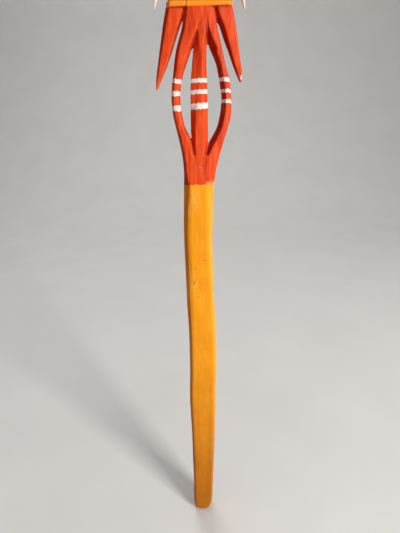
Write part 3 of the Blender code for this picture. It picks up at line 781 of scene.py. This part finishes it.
def shell_mesh(up, seed):
    """A half-shell in millimetres: outside, the tenon's hole, inside and rim, as one closed turned surface."""
    sign, quick = (1.0 if up else -1.0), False
    rim = 0.15
    a0, a1 = math.asin(rim / HEAD_H), math.acos(HOLE_R / HEAD_R)
    step = (2.4 if quick else 1.25) / 53.0
    rows = set(np.round(np.arange(a0 + 0.012, a1 - 0.012, step), 5))
    for g in (GROOVE_LOW, GROOVE_HIGH):
        rows = {a for a in rows if abs(a - g) > 1.9 / 53}
        rows |= {round(g + d / 53, 5) for d in (-1.8, -1.35, -1.0, -0.7, -0.45, -0.2, 0.0, 0.2, 0.45, 0.7, 1.0, 1.35, 1.8)}
    outer = [a0, a0 + 0.004] + sorted(a for a in rows if a0 + 0.008 < a < a1 - 0.008) + [a1 - 0.006, a1]
    ri, hi = HEAD_R - WALL, HEAD_H - WALL
    b0, b1 = math.asin(rim / hi), math.acos(HOLE_R / ri)
    inner = list(np.linspace(b1, b0, 16 if quick else 34))
    seg = 96 if quick else 300
    th = np.arange(seg) * 2 * math.pi / seg
    ring, kind = [], []
    for n, a in enumerate(outer):
        groove = 0.55 * (math.exp(-((a - GROOVE_LOW) * 53 / 0.62) ** 2) + math.exp(-((a - GROOVE_HIGH) * 53 / 0.62) ** 2))
        ease = 0.25 if n in (0, len(outer) - 1) else 0.0         # the rim's and the hole's edges are broken
        nr, nz = math.cos(a) / HEAD_R, math.sin(a) / HEAD_H
        k = math.hypot(nr, nz)
        nr, nz = nr / k, nz / k
        ring.append((HEAD_R * math.cos(a), HEAD_H * math.sin(a), nr, nz, a, -groove - ease))
        kind.append(0)
    for b in inner:
        nr, nz = -math.cos(b) / ri, -math.sin(b) / hi
        k = math.hypot(nr, nz)
        ring.append((ri * math.cos(b), hi * math.sin(b), nr / k, nz / k, b, 0.0))
        kind.append(1)
    verts, field_a, field_t, inside = [], [], [], []
    for (r, h, nr, nz, a, off), k in zip(ring, kind):
        x, y = r * np.cos(th), r * np.sin(th)
        p = np.column_stack([x, y, np.full(seg, sign * h)])
        nor = np.column_stack([nr * np.cos(th), nr * np.sin(th), np.full(seg, sign * nz)])
        d = np.full(seg, off)
        if k == 0:
            d += 0.16 * lattice_noise(p / 17.0 + 40, 21) + 0.05 * lattice_noise(p / (6.0, 6.0, 4.0) + 40, 22)
            d += 0.035 * lattice_noise(np.column_stack([p[:, 0] / 30, p[:, 1] / 30, p[:, 2] / 1.5]) + 40, 23)
            for ta, aa, rad, deep in HEAD_DENTS:
                if not up:
                    ta = (ta + 1.9) % (2 * math.pi)
                dt = (th - ta + math.pi) % (2 * math.pi) - math.pi
                d -= deep * np.exp(-((dt * r) ** 2 + ((a - aa) * 53) ** 2) / rad ** 2)
            d *= 1.0 if r > HOLE_R + 3 else 0.4
        else:
            d += 0.22 * lattice_noise(p / (9.0, 9.0, 3.0) + 40, 24)          # gouge marks inside
            d *= smooth_step(HOLE_R + 0.2, HOLE_R + 4, r) * smooth_step(0.2, 3.0, h)
        verts.append(p + nor * d[:, None])
        field_a.append(np.full(seg, a))
        field_t.append(th)
        inside.append(np.full(seg, float(k)))
    n = len(ring)
    faces = []
    for i in range(n):
        j = (i + 1) % n
        for q in range(seg):
            q2 = (q + 1) % seg
            f = (i * seg + q, i * seg + q2, j * seg + q2, j * seg + q)
            faces.append(f if up else f[::-1])
    v = np.concatenate(verts)
    v[:, 2] += HEAD_Z
    me = mesh_from("head_shell", v * MM, faces)
    me.shade_smooth()
    a, t, inside = np.concatenate(field_a), np.concatenate(field_t), np.concatenate(inside)
    r = np.hypot(v[:, 0], v[:, 1])
    arc, pitch = a * 53.0, 2 * math.pi / SPIKES
    wav = lambda k, ph, amp: amp * (np.sin(t * k + ph) + 0.6 * np.sin(t * (2 * k + 3) + ph * 2.3))
    ph = 0.0 if up else 1.7
    attribute(me, "f_band", GROOVE_LOW * 53 - 0.7 + wav(5, ph, 0.22) - arc)
    attribute(me, "f_cap", arc - (GROOVE_HIGH * 53 + 0.6) + wav(4, ph + 1, 0.20))
    ring_w = box_field(arc + wav(4, ph + 2, 0.22), GROOVE_HIGH * 53 - 4.6, GROOVE_HIGH * 53 - 1.7)
    # white spikes rise from the band, yellow ones hang between them from the ring; no two are quite alike
    r_ = RNG(seed)
    lean, tall, wide = r_.uniform(-0.05, 0.05, 2 * SPIKES), r_.uniform(-2.2, 1.6, 2 * SPIKES), r_.uniform(0.9, 1.1, 2 * SPIKES)

    def spikes(first, base, tip, half, offset):
        k = np.floor((t - first) / pitch).astype(int) % SPIKES
        centre = first + (k + 0.5) * pitch
        d = (t - centre + math.pi) % (2 * math.pi) - math.pi
        end = tip + tall[k + offset] * np.sign(tip - base)
        u = (arc - base) / (end - base)
        side = half * wide[k + offset] * np.clip(1 - u, 0, 1) ** 1.12 - np.abs(d - lean[k + offset] * np.clip(u, 0, 1)) * r
        edge_ = np.where(u > 1, -np.hypot(arc - end, d * r), side)
        return np.minimum(edge_, np.abs(end - base) * u)

    white = np.maximum(ring_w, spikes(-pitch / 2, GROOVE_LOW * 53 + 1.5, 39.0, 6.4, 0))
    k = np.floor(t / pitch).astype(int) % SPIKES
    d = (t - (k + 0.5) * pitch + math.pi) % (2 * math.pi) - math.pi
    for m_, (lo, hi_) in enumerate(((14.3, 16.0), (17.7, 19.3), (21.0, 22.4))):
        shift = 0.25 * np.sin(k * 2.1 + m_ * 1.3)
        bar_ = np.minimum(box_field(arc + shift + 0.05 * d * r, lo, hi_), (3.1 - 0.35 * m_) - np.abs(d) * r)
        white = np.maximum(white, bar_)
    attribute(me, "f_white", white)
    attribute(me, "f_yellow", spikes(0.0, GROOVE_HIGH * 53 - 5.6, 27.0, 4.6, SPIKES))
    attribute(me, "inside", inside)
    attribute(me, "edge", convexity(me, v, 4) * (1 - inside))
    # where the turned grooves run, for the painted shade in them
    attribute(me, "groove", np.maximum(np.exp(-((a - GROOVE_LOW) * 53 / 0.8) ** 2), np.exp(-((a - GROOVE_HIGH) * 53 / 0.8) ** 2)) * (1 - inside))
    worn = np.zeros(len(v))
    for ta, aa, rad, k_ in ((0.95, 0.60, 3.0, 0.75), (4.6, 0.5, 2.6, 0.8), (3.7, 0.86, 3.0, 0.7), (5.5, 0.34, 2.2, 0.6), (2.2, 0.42, 2.4, 0.65)):
        if not up:
            ta = (ta + 1.9) % (2 * math.pi)
        dt = (t - ta + math.pi) % (2 * math.pi) - math.pi
        worn = np.maximum(worn, k_ * np.exp(-((dt * r) ** 2 + ((a - aa) * 53) ** 2) / rad ** 2) * (1 - inside))
    attribute(me, "worn", worn)
    return me


def painted_head():
    m = Nodes("hand_painted_head")
    round_ = m.around(0.007)
    brush = m.noise(420, 3, 0.55, round_, 0.25)
    fibre = m.noise(900, 3, 0.6, m.stretch((1, 1, 0.05)))
    rings = m.noise(1100, 2, 0.6, m.around(0.0012))
    blotch = m.noise(48, 3, 0.55)
    ragged = m.math("ADD", m.math("MULTIPLY", m.math("SUBTRACT", m.noise(400, 2, 0.6), 0.5), 1.15),
                    m.math("MULTIPLY", m.math("SUBTRACT", m.noise(1700, 2, 0.6), 0.5), 0.5))

    def mask(name, soft=0.12, wander=0.9):
        return m.remap(m.math("ADD", m.attr(name), m.math("MULTIPLY", ragged, wander)), -soft, soft)

    band, cap, white, yellow, inside = mask("f_band"), mask("f_cap"), mask("f_white"), mask("f_yellow"), m.attr("inside")
    red = m.mix(m.remap(brush, 0.35, 0.70, 0, 0.6), RED, RED_LIGHT)
    red = m.mix(m.remap(m.noise(230, 3, 0.6, round_), 0.54, 0.72, 0, 0.55), red, RED_DEEP)
    ochre = m.mix(m.remap(brush, 0.45, 0.72, 0, 0.6), OCHRE, OCHRE_LIGHT)
    ochre = m.mix(m.remap(m.noise(150, 3, 0.6, round_), 0.5, 0.75, 0, 0.5), ochre, OCHRE_BROWN)
    colour = m.mix(m.math("MAXIMUM", band, cap), red, ochre)
    colour = m.mix(m.math("MULTIPLY", yellow, m.remap(brush, 0.62, 0.80, 1.0, 0.75)), colour, LEDGE)
    colour = m.mix(m.math("MULTIPLY", white, m.remap(brush, 0.60, 0.80, 1.0, 0.70)), colour, WHITE)
    edge = m.math("ADD", m.attr("edge"), m.math("MULTIPLY", m.math("SUBTRACT", m.noise(650, 3, 0.65), 0.5), 0.22))
    colour = m.mix(m.remap(edge, 0.10, 0.26, 0, 0.5), colour, m.mix(0.5, colour, (0.95, 0.62, 0.36, 1)))
    wood = m.mix(m.remap(fibre, 0.3, 0.7), (0.42, 0.24, 0.12, 1), (0.66, 0.45, 0.26, 1))
    chip = m.remap(m.math("ADD", m.attr("worn"), m.math("MULTIPLY", m.math("SUBTRACT", m.noise(520, 3, 0.7), 0.5), 1.0)), 0.62, 0.74)
    colour = m.mix(chip, colour, wood)
    # painted shade in the turned grooves; dirt specks elsewhere
    shade_and_dirt = m.math("MAXIMUM", m.math("MULTIPLY", m.attr("groove"), m.remap(blotch, 0.3, 0.7, 0.45, 0.8)),
                  m.math("MULTIPLY", m.remap(m.voronoi(190), 0.05, 0.11, 1.0, 0.0), m.remap(m.noise(33, 1, 0.5), 0.55, 0.65, 0, 0.6)))
    colour = m.mix(shade_and_dirt, colour, m.mix(0.8, colour, (0.07, 0.028, 0.012, 1)))
    grain_in = m.mix(m.remap(m.noise(300, 4, 0.6, m.stretch((1, 1, 0.06))), 0.3, 0.7), (0.34, 0.19, 0.09, 1), (0.60, 0.40, 0.22, 1))
    colour = m.mix(inside, colour, grain_in)
    colour = m.shade(colour, m.remap(blotch, 0.25, 0.75, 0.92, 1.06, False))
    n1 = m.bump(m.math("ADD", m.math("MULTIPLY", brush, 0.6), m.math("MULTIPLY", rings, 0.4)), 0.00018, 0.6)
    layers = m.math("ADD", m.math("MULTIPLY", white, 1.5), m.math("ADD", yellow, m.math("MAXIMUM", band, cap)))
    n2 = m.bump(m.math("SUBTRACT", layers, m.math("MULTIPLY", chip, 1.8)), 0.00010, 0.8, n1)
    n3 = m.bump(fibre, 0.00010, 0.4, n2)
    rough = m.math("ADD", m.remap(brush, 0.3, 0.7, 0.47, 0.60, False), m.math("MULTIPLY", m.math("MAXIMUM", chip, inside), 0.22), clamp=True)
    return m.finish(colour, rough, n3, specular=0.26)


head_paint = painted_head()
for up_, node in ((False, "head_lower_shell"), (True, "head_upper_shell")):
    me_ = shell_mesh(up_, 61 + up_)
    me_.materials.append(head_paint)
    ob_ = link(me_, "turned_" + node)
    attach(ob_, "body")
    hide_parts(node)

# =====================================================================================
# twisted cotton: three turns round the head's glue line, three round the shoulder
# =====================================================================================


def smooth_path(points, step):
    """A path through the points (Catmull-Rom), read at even steps along its length."""
    p = np.array(points, float)
    p = np.vstack([2 * p[0] - p[1], p, 2 * p[-1] - p[-2]])
    out = []
    for i in range(1, len(p) - 2):
        for u in np.linspace(0, 1, 12, endpoint=False):
            a, b, c_, d = p[i - 1], p[i], p[i + 1], p[i + 2]
            out.append(0.5 * ((2 * b) + (c_ - a) * u + (2 * a - 5 * b + 4 * c_ - d) * u ** 2 + (3 * b - a - 3 * c_ + d) * u ** 3))
    out.append(p[-2])
    out = np.array(out)
    s_ = np.concatenate([[0], np.cumsum(np.linalg.norm(np.diff(out, axis=0), axis=1))])
    n = max(3, int(round(s_[-1] / step)) + 1)
    q = np.linspace(0, s_[-1], n)
    return np.column_stack([np.interp(q, s_, out[:, k]) for k in range(3)]), q


def carried_frame(path):
    """A frame that doesn't spin as it moves along the path."""
    t = np.gradient(path, axis=0)
    t /= np.linalg.norm(t, axis=1)[:, None]
    n = np.zeros_like(t)
    ref = np.array((0.0, 0.0, 1.0)) if abs(t[0, 2]) < 0.9 else np.array((1.0, 0.0, 0.0))
    v = ref - t[0] * ref.dot(t[0])
    for i in range(len(t)):
        v = v - t[i] * v.dot(t[i])
        v /= np.linalg.norm(v)
        n[i] = v
    return t, n, np.cross(t, n)


def twisted(path, s_, dia, sides=7):
    """Three plies laid up round the path. Returns vertices, faces and each vertex's place along and round its ply."""
    t, n, b = carried_frame(path)
    ply, off, pitch = dia * 0.232, dia * 0.268, dia * 2.7
    total = s_[-1]
    verts, faces, along, round_ = [], [], [], []
    for k in range(3):
        fi = 2 * math.pi * s_ / pitch + k * 2 * math.pi / 3
        splay = 1 + 1.1 * np.clip(1 - (total - s_) / (dia * 1.3), 0, 1) ** 1.5 * (0.7 + 0.35 * k)
        c_ = path + (off * splay)[:, None] * (np.cos(fi)[:, None] * n + np.sin(fi)[:, None] * b)
        tt = np.gradient(c_, axis=0)
        tt /= np.linalg.norm(tt, axis=1)[:, None]
        e1 = np.cos(fi)[:, None] * n + np.sin(fi)[:, None] * b
        e2 = np.cross(tt, e1)
        e2 /= np.linalg.norm(e2, axis=1)[:, None]
        e1 = np.cross(e2, tt)
        taper = np.clip(np.minimum(s_ / (dia * 0.25) + 0.25, (total - s_) / (dia * 0.35) + 0.22), 0, 1)
        lump = 1 + 0.035 * np.sin(s_ * 1.9 / dia + k * 2.0) + 0.025 * np.sin(s_ * 4.7 / dia + k)
        base = len(verts)
        for i in range(len(path)):
            for q in range(sides):
                a = 2 * math.pi * q / sides
                r = ply * taper[i] * lump[i]
                verts.append(c_[i] + r * (math.cos(a) * e1[i] + math.sin(a) * e2[i]))
                along.append(s_[i] + k * 37.0)
                round_.append(a * ply)
        for i in range(len(path) - 1):
            for q in range(sides):
                a, a2 = base + i * sides + q, base + i * sides + (q + 1) % sides
                faces.append((a, a2, a2 + sides, a + sides))
        faces.append(tuple(base + q for q in range(sides - 1, -1, -1)))
        faces.append(tuple(base + (len(path) - 1) * sides + q for q in range(sides)))
    return verts, faces, along, round_


def lashing(name, radius, z_mid, dia, start, knot_drop=0.0):
    """Three turns that climb side by side, an overhand knot on top of them, and a tail."""
    k = dia / 2.4
    pts = []                                    # (distance round, height, distance out) from the knot's middle
    turns = 2 * math.pi * radius
    for u in np.linspace(0.0, 3.0, 3 * 40 + 1):
        round_at = u * turns
        if 3 * turns - round_at < 21 * k:
            break
        pts.append((round_at - 3 * turns, -1.5 * dia + u * dia, 0.06 * math.sin(u * 9.0) * k + (-0.12 * k if u < 0.02 else 0)))
    pts += [(-20 * k, 3.42 * k, 0.0), (-15.5 * k, 3.3 * k, 0.4 * k), (-12 * k, 2.8 * k, 1.6 * k), (-8.6 * k, 1.5 * k, 2.55 * k),
            (-5.6 * k, 1.0 * k, 2.6 * k)]
    size, lift, cut_ = 1.42 * k, 3.95 * k, 0.5
    for a in np.linspace(3 * math.pi - cut_, math.pi + cut_, 46):
        x, y, z = math.sin(a) + 2 * math.sin(2 * a), math.cos(a) - 2 * math.cos(2 * a), -math.sin(3 * a)
        pts.append((y * size, -x * size - knot_drop, z * size + lift))
    pts += [(-5.6 * k, -1.4 * k - knot_drop, 5.1 * k), (-7.7 * k, -2.8 * k - knot_drop, 4.2 * k), (-8.5 * k, -5.8 * k - knot_drop, 2.7 * k),
            (-8.7 * k, -9.2 * k - knot_drop, 1.3 * k), (-8.3 * k, -12.6 * k - knot_drop, 0.6 * k)]
    world = []
    for s_, h, out in pts:
        th, r = start + s_ / radius, radius + out
        world.append((r * math.cos(th), r * math.sin(th), z_mid + h))
    path, s_ = smooth_path(world, dia * 2.7 / (8))
    v, f, along, round_ = twisted(path, s_, dia)
    me = mesh_from(name, np.array(v) * MM, f)
    me.shade_smooth()
    attribute(me, "along", np.array(along))
    attribute(me, "round", np.array(round_))
    return me


def cotton(colour, dark):
    m = Nodes("twisted_cotton")
    u, v = m.attr("along"), m.attr("round")
    # fibres lie at an angle along each ply
    strand = m.vector(m.math("MULTIPLY", u, 0.9), m.math("ADD", m.math("MULTIPLY", v, 9.0), m.math("MULTIPLY", u, 4.5)), 0.0)
    hair = m.noise(1.0, 3, 0.65, strand)
    soil = m.noise(90, 3, 0.6)
    c_ = m.mix(m.remap(hair, 0.32, 0.68), dark, colour)
    c_ = m.mix(m.remap(soil, 0.48, 0.75, 0, 0.55), c_, (0.36, 0.25, 0.15, 1))
    c_ = m.mix(m.remap(m.noise(420, 2, 0.6), 0.60, 0.72, 0, 0.35), c_, (0.92, 0.88, 0.78, 1))
    n1 = m.bump(hair, 0.00014, 0.8)
    n2 = m.bump(m.noise(2600, 2, 0.6), 0.00006, 0.5, n1)
    return m.finish(c_, m.remap(hair, 0.3, 0.7, 0.80, 0.95, False), n2, specular=0.2, sheen=0.25)


cotton_mat = cotton((0.80, 0.71, 0.55, 1), (0.50, 0.40, 0.27, 1))
for node, radius, z_mid, dia, start, drop in (("equator_cord", 51.6, HEAD_Z, 2.4, math.radians(-72), 0.0),
                                              ("neck_cord", 14.28, 587.5, 1.8, math.radians(-68), 1.15)):
    me_ = lashing(node + "_lay", radius, z_mid, dia, start, drop)
    me_.materials.append(cotton_mat)
    ob_ = link(me_, "twisted_" + node)
    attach(ob_, "body")
    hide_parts(node)

# =====================================================================================
# hand-cut leather washers above and below the head
# =====================================================================================


def washer_mesh(node, seed):
    lo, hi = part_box(node)
    z0, z1, r1 = lo[2] / MM + 0.04, hi[2] / MM - 0.04, hi[0] / MM
    r0, seg = 8.36, 220
    th = np.arange(seg) * 2 * math.pi / seg
    r = RNG(seed)
    ph = r.uniform(0, 6.28, 8)
    edge_ = 0.22 * np.sin(2 * th + ph[0]) + 0.14 * np.sin(5 * th + ph[1]) + 0.07 * np.sin(11 * th + ph[2]) + 0.04 * np.sin(27 * th + ph[3])
    flat = 0.30 * np.maximum(0, np.sin(9 * th + ph[4])) ** 6                  # small straight knife cuts
    mid, h = (z0 + z1) / 2, (z1 - z0) / 2
    prof = []
    for a in np.linspace(-90, 90, 11):
        prof.append((1.0, 0.75 * math.cos(math.radians(a)) - 0.75, h * math.copysign(abs(math.sin(math.radians(a))) ** 0.7, a)))
    for q in np.linspace(0.90, 0.08, 9):
        prof.append((q, 0.0, h - 0.05))
    prof.append((0.0, 0.25, h - 0.05))
    prof.append((0.0, 0.0, h - 0.30))
    for q in (0.4, 0.0, -0.4):
        prof.append((0.0, 0.0, h * q))
    prof.append((0.0, 0.0, -h + 0.30))
    prof.append((0.0, 0.25, -h + 0.05))
    for q in np.linspace(0.08, 0.90, 9):
        prof.append((q, 0.0, -h + 0.05))
    verts = []
    for q, off, z in prof:
        rad = r0 + (r1 - 0.15 + (edge_ - 0.25 - flat) - r0) * q + off
        p = np.column_stack([rad * np.cos(th), rad * np.sin(th), np.full(seg, mid + z)])
        if q > 0.05 and abs(z) > h * 0.6:
            p[:, 2] += 0.05 * lattice_noise(p / 2.4 + 40, seed) * (1 if z < 0 else -1) - 0.04 * np.sign(z)
        verts.append(p)
    n, faces = len(prof), []
    for i in range(n):
        j = (i + 1) % n
        for q in range(seg):
            q2 = (q + 1) % seg
            faces.append((i * seg + q, i * seg + q2, j * seg + q2, j * seg + q))
    v = np.concatenate(verts)
    me = mesh_from(node + "_cut", v * MM, faces)
    me.shade_smooth()
    cut_edge = np.concatenate([np.full(seg, 1.0 if (q == 1.0 and abs(z) < h * 0.95) or q == 0.0 else 0.0) for q, off, z in prof])
    attribute(me, "cut_edge", cut_edge)
    return me


def leather():
    m = Nodes("worn_leather")
    cells = m.voronoi(1500, feature="DISTANCE_TO_EDGE")
    creases = m.remap(cells, 0.0, 0.14)
    wrinkle = m.noise(260, 4, 0.65, distort=0.8)
    face = m.mix(m.remap(m.noise(120, 4, 0.6), 0.3, 0.7), (0.17, 0.075, 0.032, 1), (0.33, 0.165, 0.075, 1))
    face = m.mix(m.remap(wrinkle, 0.52, 0.70, 0, 0.5), face, (0.46, 0.27, 0.14, 1))
    face = m.mix(m.remap(cells, 0.0, 0.10, 0.5, 0.0), face, (0.06, 0.025, 0.012, 1))
    raw = m.mix(m.remap(m.noise(1700, 4, 0.7), 0.3, 0.7), (0.20, 0.105, 0.052, 1), (0.40, 0.245, 0.135, 1))
    colour = m.mix(m.remap(m.math("ADD", m.attr("cut_edge"), m.math("MULTIPLY", m.math("SUBTRACT", wrinkle, 0.5), 0.5)), 0.35, 0.65), face, raw)
    n1 = m.bump(creases, 0.00012, 0.7)
    n2 = m.bump(wrinkle, 0.00025, 0.6, n1)
    n3 = m.bump(m.noise(2400, 2, 0.6), 0.00005, 0.4, n2)
    return m.finish(colour, m.math("ADD", m.remap(wrinkle, 0.3, 0.7, 0.42, 0.62, False), m.math("MULTIPLY", m.attr("cut_edge"), 0.25), clamp=True), n3, specular=0.4)


leather_mat = leather()
for node, seed_ in (("lower_washer", 71), ("upper_washer", 72)):
    me_ = washer_mesh(node, seed_)
    me_.materials.append(leather_mat)
    ob_ = link(me_, "leather_" + node)
    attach(ob_, "body")
    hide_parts(node)

# =====================================================================================
# the whittled pin that holds the head on
# =====================================================================================


def pin_mesh():
    lo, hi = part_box("cross_pin")
    x0, x1 = lo[0] / MM, hi[0] / MM
    sides, seg = 9, 36
    r = RNG(81)
    cuts = [kinked(500 + k, x0, x1, 3.0, 9.0, 0.09) for k in range(sides)]
    xs = np.concatenate([[x0, x0 + 0.15, x0 + 0.5], np.linspace(x0 + 1.0, x1 - 1.0, 60), [x1 - 0.5, x1 - 0.15, x1]])
    verts, faces = [], []
    for x in xs:
        u = (x - x0) / (x1 - x0)
        rad = 1.62 + 0.34 * u
        rad *= min(1.0, 0.72 + (x - x0) / 1.6, 0.80 + (x1 - x) / 1.2)
        corner = np.array([rad * (1.0 + cuts[k](x) * 0.5) for k in range(sides)])
        ca = np.array([2 * math.pi * k / sides + 0.35 * cuts[(k + 3) % sides](x) for k in range(sides)])
        pts = np.column_stack([corner * np.cos(ca), corner * np.sin(ca)])
        for q in range(seg):
            f = q * sides / seg
            k, w = int(f), f - int(f)
            w = smooth_step(0, 1, w) * 0.25 + w * 0.75
            y, z = pts[k] * (1 - w) + pts[(k + 1) % sides] * w
            verts.append((x, y, PIN_Z + z))
    for i in range(len(xs) - 1):
        for q in range(seg):
            a, b = i * seg + q, i * seg + (q + 1) % seg
            faces.append((a, b, b + seg, a + seg))
    faces.append(tuple(range(seg - 1, -1, -1)))
    faces.append(tuple((len(xs) - 1) * seg + q for q in range(seg)))
    v = np.array(verts)
    me = mesh_from("pin_whittled", v * MM, faces)
    me.shade_smooth()
    attribute(me, "edge", convexity(me, v, 2))
    attribute(me, "end", np.maximum(smooth_step(x0 + 0.4, x0, v[:, 0]), smooth_step(x1 - 0.4, x1, v[:, 0])))
    return me


def whittled_wood():
    m = Nodes("whittled_wood")
    grain = m.noise(1300, 4, 0.65, m.stretch((0.06, 1, 1)))
    pores = m.remap(m.voronoi(2300, m.stretch((0.10, 1, 1))), 0.10, 0.22, 1, 0)
    colour = m.mix(m.remap(grain, 0.3, 0.7), (0.30, 0.165, 0.075, 1), (0.60, 0.40, 0.22, 1))
    colour = m.mix(m.math("MULTIPLY", pores, 0.55), colour, (0.14, 0.07, 0.03, 1))
    colour = m.mix(m.remap(m.attr("edge"), 0.02, 0.10, 0, 0.4), colour, (0.74, 0.55, 0.34, 1))
    colour = m.mix(m.math("MULTIPLY", m.attr("end"), 0.6), colour, (0.22, 0.12, 0.055, 1))
    n1 = m.bump(grain, 0.00012, 0.6)
    n2 = m.bump(pores, 0.00008, 0.5, n1)
    return m.finish(colour, m.remap(grain, 0.3, 0.7, 0.50, 0.68, False), n2, specular=0.35)


me_ = pin_mesh()
me_.materials.append(whittled_wood())
pin = link(me_, "whittled_pin")
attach(pin, "body")
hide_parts("cross_pin")

# =====================================================================================
# twelve hard round seeds, each a little different, on the floor of the lower shell
# =====================================================================================


def seed_shape(node, k):
    lo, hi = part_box(node)
    mid = np.array([(a + b) / 2 for a, b in zip(lo, hi)]) / MM
    bm = bmesh.new()
    bmesh.ops.create_icosphere(bm, subdivisions=5, radius=1.0)
    me = bpy.data.meshes.new(node + "_shape")
    bm.to_mesh(me)
    bm.free()
    p = coords(me)
    p /= np.linalg.norm(p, axis=1)[:, None]
    r = RNG(900 + k)
    axes = r.uniform(0.90, 0.99, 3)
    rad = 3.36 * (1 + 0.022 * lattice_noise(p * 1.6 + 40 + k, 31) + 0.012 * lattice_noise(p * 4.5 + 40 + k, 32))
    seam = 0.028 * np.exp(-(p[:, 2] / 0.07) ** 2)                     # the coat's faint seam
    eye = 0.10 * np.exp(-((p[:, 0] - 1) ** 2 + p[:, 1] ** 2 + p[:, 2] ** 2) / 0.045)       # where it grew on its stalk
    nib = 0.05 * np.exp(-((p[:, 0] - 0.90) ** 2 + (p[:, 2] - 0.42) ** 2 + p[:, 1] ** 2) / 0.012)
    mark = np.exp(-((p[:, 0] - 1) ** 2 + p[:, 1] ** 2 + p[:, 2] ** 2) / 0.10)
    q = p * (rad * (1 - seam - eye + nib))[:, None] * axes
    top = np.linalg.norm(q, axis=1).max()
    q *= min(1.0, 3.44 / top)
    rot = Matrix.Rotation(r.uniform(0, 6.28), 3, "Z") @ Matrix.Rotation(r.uniform(0, 6.28), 3, "X") @ Matrix.Rotation(r.uniform(0, 6.28), 3, "Y")
    q = q @ np.array(rot).T + mid
    set_coords(me, q * MM)
    me.shade_smooth()
    attribute(me, "mark", mark)
    attribute(me, "seam", np.exp(-(p[:, 2] / 0.10) ** 2))
    return me


def seed_coat():
    m = Nodes("seed_coat")
    mottle = m.noise(650, 4, 0.65)
    colour = m.mix(m.remap(mottle, 0.35, 0.65), (0.020, 0.012, 0.009, 1), (0.085, 0.042, 0.022, 1))
    colour = m.mix(m.remap(m.noise(1900, 2, 0.6), 0.60, 0.72, 0, 0.6), colour, (0.20, 0.115, 0.065, 1))
    colour = m.mix(m.math("MULTIPLY", m.attr("mark"), 0.8), colour, (0.36, 0.26, 0.17, 1))
    colour = m.mix(m.math("MULTIPLY", m.attr("seam"), 0.35), colour, (0.14, 0.08, 0.045, 1))
    n1 = m.bump(m.voronoi(2200), 0.00006, 0.5)
    n2 = m.bump(mottle, 0.00010, 0.4, n1)
    return m.finish(colour, m.remap(mottle, 0.3, 0.7, 0.26, 0.44, False), n2, specular=0.5)


seed_mat = seed_coat()
for k in range(12):
    node = "seed_%02d" % (k + 1)
    me_ = seed_shape(node, k)
    me_.materials.append(seed_mat)
    ob_ = link(me_, "hard_" + node)
    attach(ob_, node)
    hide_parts(node)

# =====================================================================================
# stage
# =====================================================================================
def plain(name, colour, roughness=0.9):
    m = Nodes(name)
    tone = m.remap(m.noise(9, 3, 0.5), 0.3, 0.7, 0.975, 1.02, False)
    return m.finish(m.shade(colour, tone), roughness, m.bump(m.noise(260, 3, 0.6), 0.0003, 0.25), specular=0.2)


def sweep_floor():
    """Floor and back wall in one sheet with a wide curve between them."""
    prof = [(-3.0, 0.0)]
    y0, r = 1.1, 0.9
    prof += [(y0 + r * math.sin(a), r - r * math.cos(a)) for a in np.linspace(0, math.pi / 2, 25)]
    prof.append((y0 + r, 4.0))
    verts, faces = [], []
    for i, (y, z) in enumerate(prof):
        verts += [(-4.0, y, z), (4.0, y, z)]
    for i in range(len(prof) - 1):
        a = 2 * i
        faces.append((a, a + 1, a + 3, a + 2))
    me = mesh_from("stage_sheet", verts, faces)
    me.shade_smooth()
    ob = link(me, "stage_sheet")
    me.materials.append(plain("pale_stage", (0.66, 0.645, 0.625, 1)))


sweep_floor()


def area(name, at, look, size, watts, colour=(1, 1, 1)):
    d = bpy.data.lights.new(name, "AREA")
    d.shape, d.size, d.size_y = "RECTANGLE", size[0], size[1]
    d.energy, d.color = watts, colour
    o = bpy.data.objects.new(name, d)
    bpy.context.scene.collection.objects.link(o)
    o.location = at
    o.rotation_mode = "QUATERNION"
    o.rotation_quaternion = (Vector(look) - Vector(at)).to_track_quat("-Z", "Y")
    return o


area("key", (1.02, -1.12, 0.92), (0, 0, 0.36), (0.46, 0.56), 28.0, (1.0, 0.985, 0.955))
area("top_light", (0.0, -0.15, 2.6), (0, 0, 0), (1.2, 1.2), 19.0, (1.0, 1.0, 1.0))
area("back_light", (-0.4, 1.5, 2.2), (0, 0, 0.4), (1.0, 1.0), 20.0, (0.97, 0.985, 1.0))
world = bpy.data.worlds.new("studio")
bpy.context.scene.world = world
world.use_nodes = True
world.node_tree.nodes["Background"].inputs[0].default_value = (0.95, 0.97, 1.0, 1)
world.node_tree.nodes["Background"].inputs[1].default_value = 0.06
bpy.context.scene.view_settings.view_transform = "Standard"
bpy.context.scene.view_settings.look = "None"
